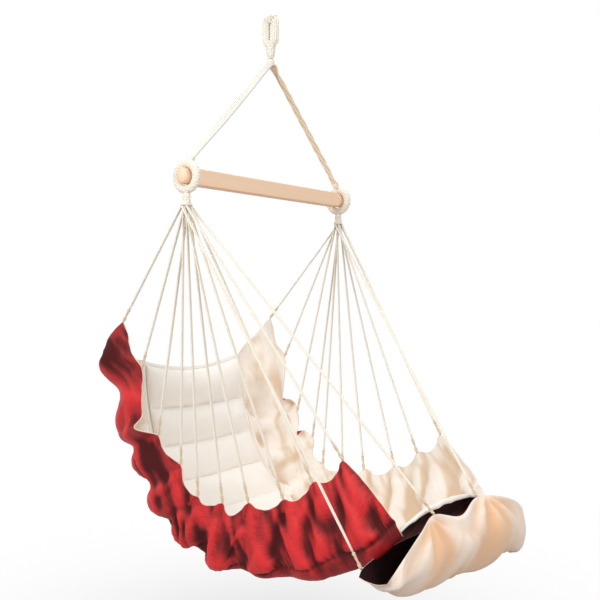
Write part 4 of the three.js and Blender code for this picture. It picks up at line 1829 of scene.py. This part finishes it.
    def pulled_folds(self, station: Array, points: Array, noise: SmoothNoise) -> Array:
        """Finds the folds that fan out from each cord, with a valley straight under it.

        Args:
            station: Places along the hem, one a cord.
            points: The panel's points.
            noise: The panel's noise.

        Returns:
            A height for each point.
        """
        height = np.zeros(points.shape[:2])
        for i in range(self.form.spans + 1):
            place = points[np.abs(station - i).argmin(), 0]
            drop = place[2] - points[..., 2]
            lean = 0.12 * noise(i * 2.3, 4.5)
            aside = points[..., 1] - place[1] - lean * drop
            radius = np.hypot(aside, drop) + LEAST_RADIUS
            angle = np.arctan2(aside, drop + 0.006)
            rays = folded(1.5 * angle + 0.6 * noise(i * 3.1, radius * 9.0) + 0.5)
            reach = np.minimum(radius / 0.05, 1) * hump(radius, 0.15)
            height += self.radiating * rays * reach
            depth = ramp(drop, 0.04) * hump(drop, 0.24)
            beside, reach = self.valley_sides
            sides = hump(aside - beside, reach) + hump(aside + beside, reach)
            width = 0.010 + 0.03 * np.maximum(drop, 0)
            height += self.valley * depth * (0.5 * sides - hump(aside, width))
        return height

    def hanging_folds(self, points: Array, down: Array, noise: SmoothNoise) -> Array:
        """Finds the long folds that hang straight down between the cords.

        Args:
            points: The panel's points.
            down: Shares of the way from the hem to the seam.
            noise: The panel's noise.

        Returns:
            A height for each point.
        """
        aside, level = points[..., 1] / 0.1, points[..., 2] / 0.1
        sway = 0.35 * noise(aside * 1.1, level * 0.35)
        broad = folded(aside * 0.85 + sway)
        narrow = folded(aside * 1.9 + 1.6 * sway + 0.2 * noise(aside * 2.0, level * 0.5))
        share = 0.55 + 0.45 * noise(aside * 1.4, level * 0.4 + 9.0)
        body = np.sin(math.pi * np.clip(down, 0, 1)) ** 0.6
        return body * (self.hanging * broad + 0.9 * self.hanging * narrow * share)


@dataclass(frozen=True)
class BasePanel:
    """The long cloth under the sitter, sewn to both side panels."""

    form: SeatForm
    rows: int = 150
    columns: int = 40
    thickness: float = 0.0024
    wrinkle: float = 0.0014
    tension: float = 0.0022
    edge_power: int = 6

    # The lip is rolled over, more in its middle; painted shade darkens the outside, more near
    # the lip, and the inside takes one even light painted tone
    roll: float = 0.008
    roll_ends: float = 0.2
    roll_turn: float = 150
    roll_rows: int = 10
    tone: float = -0.2
    lip_shade: float = 0.50
    lip_from: Pair = (0.90, 0.05)
    lining: float = 0.8

    def build(self, finishes: Finishes) -> None:
        """Makes the panel."""
        form = self.form
        share = np.linspace(0, 1, self.rows + 1)[:, None]
        across = np.linspace(-1, 1, self.columns + 1)[None]
        noise = SmoothNoise(5)
        tension = creased(noise(across * 4.0 + 1.5 * share, share * 5.0))
        height = self.wrinkle * noise(across * 5.0, share * 22.0) + self.tension * tension
        height = height * (1 - across**self.edge_power)
        below = form.base_normal(share * np.ones_like(across))
        points = form.base_point(share, across) + below * height[..., None]
        length = form.base_line.length()
        flat = paired(across * form.base_half_width, share * length)

        turn = np.linspace(0, math.radians(self.roll_turn), self.roll_rows + 1)
        turn = turn[1:, None, None]
        ahead = unit(points[-1:] - points[-2:-1])
        below = form.base_normal(np.ones((1, self.columns + 1)))
        ball = self.roll * mix(self.roll_ends, 1.0, 1 - across[..., None] ** 2)
        rolled = points[-1:] + ball * (ahead * np.sin(turn) + below * (1 - np.cos(turn)))
        points = np.concatenate([points, rolled])
        hem = np.repeat(flat[-1:], self.roll_rows, axis=0)
        hem[..., 1] += ball[..., 0] * turn[..., 0]
        flat = np.concatenate([flat, hem])

        start, span = self.lip_from
        lip = ramp(flat[..., 1] / length - start, span)
        thickness = self.thickness * np.ones(points.shape[:2])
        # Painted shade on the outside, darker all over and more towards the lip
        fold = self.tone - self.lip_shade * lip
        draft = MeshDraft()
        draft.cloth(
            points, flat, -1.0, thickness, fold, lining=np.full(lip.shape, self.lining)
        )
        piece = draft.build("base_cloth", finishes.lined_red())
        settle(piece, "seat", Slot.RED_CLOTH, "base_panel")


@dataclass(frozen=True)
class QuiltedPad:
    """The long pad, sewn across into channels."""

    form: SeatForm
    channel: float = 0.120
    rows_a_channel: int = 26
    columns: int = 110
    inset: float = 0.014
    top_inset: float = 0.012
    front_inset: float = 0.110
    cloth: float = 0.003
    gap: float = 0.0019

    # The filling: thick at the head, thin at the front, round at the edges and ends
    head_loft: float = 0.042
    front_loft: float = 0.018
    seam: float = 0.005
    least: float = 0.0008
    channel_power: float = 0.55
    edge_power: int = 7
    end_round: float = 0.02

    # The seams wander a little and pucker, and the cloth between them is uneven
    wander: float = 0.05
    pucker: float = 0.0032
    pucker_reach: float = 0.22
    uneven: float = 0.0026

    def build(self, finishes: Finishes) -> None:
        """Makes the pad as one closed, crowned form."""
        form = self.form
        length = form.base_line.length()
        start, end = self.top_inset / length, 1 - self.front_inset / length
        channels = round((end - start) * length / self.channel)
        row = np.linspace(0, 1, channels * self.rows_a_channel + 1)[:, None]
        across = np.sin(np.linspace(-math.pi / 2, math.pi / 2, self.columns + 1))[None]
        share = form.base_line.by_length(mix(start, end, row)) * np.ones_like(across)
        bed = form.base_point(share, across * (1 - self.inset / form.base_half_width))
        up = -form.base_normal(share)
        lift = self.cloth / 2 + self.gap
        height = self.height(row, across, channels)
        uv = paired(across * form.base_half_width, row * (end - start) * length)
        draft = MeshDraft()
        upper = draft.place(bed + up * (lift + height)[..., None])
        lower = draft.place(bed + up * lift)
        draft.quads(upper, uv)
        draft.quads(lower, uv, flip=True)
        for where, flip in ((np.s_[0, :], True), (np.s_[-1, :], False),
                            (np.s_[:, 0], False), (np.s_[:, -1], True)):
            strip = np.stack([upper[where], lower[where]])
            draft.quads(strip, np.stack([uv[where]] * 2), flip=flip)
        piece = draft.build("quilted_cushion", [finishes.cream])
        settle(piece, "seat", Slot.CREAM_CLOTH, "quilted_pad")

    def height(self, row: Array, across: Array, channels: int) -> Array:
        """Finds how high the pad stands over its underside.

        Args:
            row: Shares of the way along it.
            across: Shares of its half width.
            channels: How many channels it has.

        Returns:
            A height for each pair of shares.
        """
        noise = SmoothNoise(31)
        wander = self.wander * noise(across * 1.6, row * channels * 0.9)
        place = channels * row + wander * np.sin(math.pi * row)
        wave = np.abs(np.sin(math.pi * place))
        edge = np.sqrt(np.clip(1 - np.abs(across) ** self.edge_power, 0, 1))
        ends = ramp(np.minimum(row, 1 - row) * channels, self.end_round) ** 0.5
        loft = mix(self.head_loft, self.front_loft, row)
        full = wave**self.channel_power
        crinkle = np.cos(TURN * (across * 5.5 + 1.3 * noise(across * 9, np.floor(place) * 3)))
        near_seam = np.exp(-wave / self.pucker_reach) * (wave > 0.0)
        height = self.seam + (loft - self.seam) * full * edge
        height = height + self.pucker * crinkle * near_seam * edge
        height = height + self.uneven * noise(across * 6, place * 2.5) * full * edge
        return np.maximum(height * ends, self.least)


@dataclass(frozen=True)
class LegRest:
    """The sling in front of the seat: doubled cloth, cream outside and red inside, with painted
    warm shade outside and painted shade inside.
    """

    form: SeatForm
    half_width: float = 0.415
    reach: float = 0.095
    rise: float = 0.018
    depth: float = 0.172
    fall: float = 0.208
    rear_share: float = 0.958
    rear_gap: float = 0.0022
    cloth: float = 0.003
    thickness: float = 0.002
    columns: int = 180
    rows: int = 90

    # Its guide lines: the width, depth and fall at the middle and at places beyond it
    top_shares: tuple[Triple, ...] = (
        (0.00, 0.22, 0.13), (0.33, 0.30, 0.00), (0.65, 0.13, 0.09), (0.92, 0.09, 0.32),
        (1.00, 0.22, 0.565),
    )
    belly_shares: tuple[Triple, ...] = (
        (0.00, 0.03, 0.50), (0.34, 0.03, 0.47), (0.67, 0.00, 0.50), (0.93, 0.09, 0.575),
        (1.00, 0.34, 0.60),
    )
    bottom_shares: tuple[Triple, ...] = (
        (0.00, 0.51, 1.03), (0.34, 0.51, 1.02), (0.67, 0.51, 0.90), (0.92, 0.46, 0.69),
        (0.985, 0.56, 0.60),
    )
    rear_shares: tuple[Triple, ...] = (
        (0.00, 0.00, 0.00), (0.34, 0.00, 0.00), (0.62, 0.01, 0.04), (0.867, 0.03, 0.13),
        (0.92, 0.06, 0.19),
    )

    # Its folds, its creases and the far corner, which hangs lower
    cord_at: float = 0.33
    fold: float = 0.007
    folds: int = 5
    wave: float = 0.004
    ray: float = 0.006
    rays: int = 8
    crease: float = 0.0030
    fine_share: float = 0.4
    seam_room: float = 0.04
    end_room: float = 0.22
    # Painted shade and highlight from the folds' height
    full_fold: float = 0.012
    far_corner: Triple = (0.0, 0.030, 0.105)

    def line(self, shares: Sequence[Sequence[float]], start: Array, sense: float) -> Spline:
        """Finds a line across the sling, mirrored about its middle.

        Args:
            shares: Shares of the half width, the depth and the fall, from the middle out.
            start: Where the depth and the fall are counted from.
            sense: Plus or minus one, whether the depth runs back or forward.

        Returns:
            The line.
        """
        mirrored = [(-across, *rest) for across, *rest in shares[:0:-1]]
        return Spline(np.array([
            (
                self.half_width * across,
                start[1] + sense * self.depth * depth,
                start[2] - self.fall * fall,
            )
            for across, depth, fall in [*mirrored, *shares]
        ]))

    def lines(self) -> list[Spline]:
        """Finds the guide lines.

        Returns:
            The top edge, the belly, the bottom and the rear edge.
        """
        line = self.form.base_line
        lip = line.at(1.0)
        front = np.array([0.0, lip[1] - self.reach, lip[2] + self.rise])
        under = self.form.sag + (self.cloth + self.thickness) / 2 + self.rear_gap
        share = np.array(self.rear_share)
        rear = line.at(share) + self.form.base_normal(share) * under
        return [
            self.line(self.top_shares, front, 1),
            self.line(self.belly_shares, front, 1),
            self.line(self.bottom_shares, front, 1),
            self.line(self.rear_shares, rear, -1),
        ]

    def cord_ends(self, side: Side) -> tuple[Array, Array]:
        """Finds where the cords of one side are sewn on.

        Args:
            side: The sitter's side.

        Returns:
            The front cord's place, on the top edge, and the rear one's, on the rear edge.
        """
        lines = self.lines()
        front = lines[0].at((1 + side.value / (len(self.top_shares) - 1)) / 2)
        rear = lines[3].at((1 + side.value * 3 / (len(self.rear_shares) - 1)) / 2)
        return front, rear

    def build(self, finishes: Finishes) -> None:
        """Makes the sling."""
        u = np.linspace(-1, 1, self.columns + 1)
        guides = np.stack([line.at((u + 1) / 2) for line in self.lines()])
        v = np.linspace(0, 1, self.rows + 1)
        points = Spline(guides).at(v)
        u, v = u[None], v[:, None]
        points[..., 1] -= self.fold * np.sin(math.pi * v) * np.cos(self.folds * math.pi * u)
        noise = SmoothNoise(47)
        height = self.relief(u, v, noise)
        # The shade attribute: painted warm shade and random tone, with painted shade and
        # highlight from the folds
        fold = self.tone(u, v, noise) + height / self.full_fold
        out = np.cross(np.gradient(points, axis=0), np.gradient(points, axis=1))
        points = points + unit(out) * height[..., None]
        far = np.clip(u, 0, 1) ** 1.4 * hump(v - 0.58, 0.26)
        points = points - far[..., None] * np.array(self.far_corner)
        run = run_along(points[:, self.columns // 2])[:, None]
        thickness = self.thickness * np.ones(points.shape[:2])
        draft = MeshDraft()
        # Painted shade inside, darker towards the ends and away from the top edge
        draft.cloth(
            points, paired(u * self.half_width, run), 1.0, thickness, fold,
            lining=0.80 - 0.78 * ramp(np.abs(u) - 0.35, 0.3) - 0.9 * ramp(v - 0.12, 0.25),
        )
        piece = draft.build("legrest_cloth", finishes.lined_cream())
        settle(piece, "legrest", Slot.CREAM_CLOTH, "legrest_sling")

    def relief(self, u: Array, v: Array, noise: SmoothNoise) -> Array:
        """Finds the sling's folds: waves, rays under the front cords and slanted creases.

        Args:
            u: Shares of the half width.
            v: Shares of the way from the top edge to the rear edge.
            noise: The sling's noise.

        Returns:
            A height for each pair of shares.
        """
        wave = np.cos(TURN * (2.6 * u + 0.5 * noise(u * 2, v * 2)))
        height = self.wave * wave * np.sin(math.pi * v) ** 0.7
        for sign in (-1, 1):
            along = (u - sign * self.cord_at) * self.half_width
            drop = v * 0.30
            radius = np.hypot(along, drop) + LEAST_RADIUS
            angle = np.arctan2(along, drop + 0.004)
            reach = np.minimum(radius / 0.06, 1) * hump(radius, 0.16)
            height = height + self.ray * np.cos(self.rays * angle) * reach
        slant = u - 0.35 * v * np.sign(u)
        broad = creased(noise(slant * 5.0 + 2.0, v * 1.8 + 4.0))
        narrow = creased(noise(slant * 13.0, v * 3.5 + 9.0))
        height = height + self.crease * (broad + self.fine_share * narrow)
        height = height * ramp(v, self.seam_room) * ramp(1 - v, self.seam_room)
        return height * ramp(1 - np.abs(u), self.end_room)

    def tone(self, u: Array, v: Array, noise: SmoothNoise) -> Array:
        """Finds the cloth's painted light: painted warm shade where it hangs under each front
        cord.

        Args:
            u: Shares of the half width.
            v: Shares of the way from the top edge to the rear edge.
            noise: The sling's noise.

        Returns:
            A tone for each pair of shares, less where the painted warm shade lies, with some
            random tone.
        """
        painted_warm_shade = np.zeros(np.broadcast_shapes(u.shape, v.shape))
        for sign in (-1, 1):
            place = sign * (self.cord_at - 0.12 * v)
            painted_warm_shade += hump(u - place, 0.10 + 0.30 * v) * ramp(v, 0.08) * np.exp(-v / 1.6)
        return 0.25 - 1.5 * painted_warm_shade + 0.2 * noise(u * 6, v * 3)


# Cords below the rings


@dataclass(frozen=True)
class CordFan:
    """The doubled cords that leave a ring's neck, each bound where it meets the cloth."""

    form: SeatForm
    legrest: LegRest
    strand: float = 0.0048
    strand_sides: int = 8
    strand_steps: int = 40
    pair: float = 0.0051
    nearing: Pair = (0.93, 0.45)
    row: float = 0.0102
    rows: int = 3
    fan: float = 0.00175

    # The whipping at the foot, thinner at its waist
    whipping: float = 0.0105
    whipping_length: float = 0.052
    whipping_sides: int = 16
    whipping_steps: int = 60
    waist: float = 0.35
    waist_at: float = 0.45
    waist_reach: float = 0.16
    round_end: float = 0.08
    least_end: float = 0.02
    twist: Braid = Braid(2, 0.017, 0.0018, crossed=False)

    def build(self, side: Side, finishes: Finishes) -> None:
        """Makes the ten seat cords as one piece each, and the two leg rest cords.

        Args:
            side: The sitter's side.
            finishes: The chair's finishes.
        """
        bar, form = self.form.bar, self.form
        plate = -bar.neck_end - AIR
        ends, _, _ = form.panel_frame(np.arange(form.spans + 1.0), np.array([0.0]))
        for i in range(form.spans + 1):
            row = i % self.rows - (self.rows - 1) / 2
            top = bar.on_bar(
                side.value * (bar.ring_at - row * self.row),
                (form.spans / 2 - i) * self.fan,
                plate,
            )
            end = ends[i, 0] * np.array([side.value, 1, 1])
            piece = self.cord(f"doubled_cord_{side.label}_{i + 1}", top, end, finishes)
            settle(piece, "seat", Slot.ROPE, f"seat_cord_{side.label}_{i + 1}")
        outer = (self.rows + 1) / 2
        for label, row, end in zip(
            ("front", "rear"), (-outer, outer), self.legrest.cord_ends(side)
        ):
            top = bar.on_bar(
                side.value * (bar.ring_at + row * self.row), 0, plate - self.strand / 2
            )
            piece = self.cord(f"doubled_legrest_cord_{side.label}_{label}", top, end, finishes)
            settle(piece, "legrest", Slot.ROPE, f"legrest_cord_{side.label}_{label}")

    def cord(self, name: str, top: Array, end: Array, finishes: Finishes) -> bpy.types.Object:
        """Makes one doubled cord with its whipping.

        Args:
            name: The piece's name.
            top: Where it leaves the neck.
            end: Where it meets the cloth.
            finishes: The chair's finishes.

        Returns:
            The piece.
        """
        along = unit(end - top)
        side_way = unit(X_AXIS - along * along[0])
        foot = end - along * self.whipping_length
        tip = end - along * AIR
        draft = MeshDraft()
        steps = np.linspace(0, 1, self.strand_steps)
        near, spacing = self.nearing
        for sign in (-1, 1):
            spread = np.interp(steps, [0, near, 1], [1, 1, spacing]) * sign * self.pair / 2
            path = top + (foot - top) * steps[:, None] + side_way * spread[:, None]
            draft.tube(path, self.strand / 2, self.strand_sides, start=side_way)
        share = np.linspace(0, 1, self.whipping_steps)
        path = foot + (tip - foot) * share[:, None]
        radii = 1 - self.waist * hump(share - self.waist_at, self.waist_reach)
        ends = ramp(np.minimum(share, 1 - share), self.round_end, self.least_end)
        radii = self.whipping / 2 * radii * np.sqrt(ends)
        draft.tube(
            path, radii, self.whipping_sides, slot=1, relief=self.twist, start=side_way
        )
        return draft.build(name, [finishes.cord, finishes.whipping])


# Studio


@dataclass(frozen=True)
class Lamp:
    """A round soft lamp."""

    name: str
    place: Triple
    size: float
    watts: float

    def build(self, target: Vector) -> None:
        """Hangs the lamp at its place.

        Args:
            target: What it is turned to.
        """
        lamp = bpy.data.lights.new(self.name, "AREA")
        lamp.shape = "DISK"
        lamp.size = self.size
        lamp.energy = self.watts
        holder = bpy.data.objects.new(self.name, lamp)
        holder.location = self.place
        aim = target - Vector(self.place)
        holder.rotation_euler = aim.to_track_quat("-Z", "Y").to_euler()
        bpy.context.scene.collection.objects.link(holder)


@dataclass(frozen=True)
class Studio:
    """The floor, the lights and the camera."""

    image: int = 600
    focal_pixels: float = 900.0
    sensor: float = 36.0
    camera_place: Triple = (-2.3595, -1.8310, -0.9165)
    azimuth: float = -54.05
    floor_height: float = -2.02
    floor_size: float = 30.0
    world_strength: float = 0.66
    target: Triple = (0.0, -0.1, -1.2)
    lamps: tuple[Lamp, ...] = (
        Lamp("key", (-3.2, 0.2, 0.4), 0.9, 46.0),
        Lamp("fill", (-1.4, -3.6, 0.0), 2.4, 42.0),
        Lamp("top", (0.4, 0.2, 1.9), 1.6, 24.0),
    )

    def build(self) -> None:
        """Sets the whole studio."""
        self.build_floor()
        self.build_world()
        for lamp in self.lamps:
            lamp.build(Vector(self.target))
        self.build_camera()
        bpy.context.scene.view_settings.view_transform = "Standard"

    def build_floor(self) -> None:
        """Lays a wide pale floor under the chair."""
        bpy.ops.object.select_all(action="DESELECT")
        bpy.ops.mesh.primitive_plane_add(
            size=self.floor_size, location=(0, 0, self.floor_height)
        )
        floor = bpy.context.active_object
        floor.name = "floor"
        floor.data.materials.append(Backdrop("studio_floor").build())

    def build_world(self) -> None:
        """Sets a pale world that looks white."""
        world = bpy.data.worlds.new("studio")
        bpy.context.scene.world = world
        sheet = NodeSheet(world)
        base = sheet.nodes["Background"]
        sheet.feed(base.inputs["Color"], WHITE)
        sheet.feed(base.inputs["Strength"], self.world_strength)
        white = sheet.add("Background", {"Color": WHITE}).outputs[0]
        sheet.whiten(sheet.background_rays(), base.outputs[0], white, "World Output")

    def build_camera(self) -> None:
        """Sets a level camera at the photograph's place and angle."""
        lens = bpy.data.cameras.new("camera")
        lens.sensor_width = self.sensor
        lens.lens = self.focal_pixels * self.sensor / self.image
        camera = bpy.data.objects.new("camera", lens)
        camera.location = self.camera_place
        camera.rotation_euler = (math.pi / 2, 0.0, math.radians(self.azimuth))
        bpy.context.scene.collection.objects.link(camera)
        bpy.context.scene.camera = camera


def main() -> None:
    """Builds the chair around its frame."""
    logging.basicConfig(level=logging.INFO, format="%(message)s")
    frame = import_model()
    finishes = Finishes()
    Studio().build()
    bar = frame["nodes"]["spreader_bar"]
    bar.data.materials.clear()
    bar.data.materials.append(finishes.beech)
    form = SeatForm()
    legrest = LegRest(form)
    HangingEye().build(finishes)
    fan = CordFan(form, legrest)
    for side in Side:
        SuspensionRope(form.bar).build(side, finishes)
        RopeRing(form.bar).build(side, finishes)
        SidePanel(form).build(side, finishes)
        fan.build(side, finishes)
    BasePanel(form).build(finishes)
    QuiltedPad(form).build(finishes)
    legrest.build(finishes)


if __name__ == "__main__":
    main()
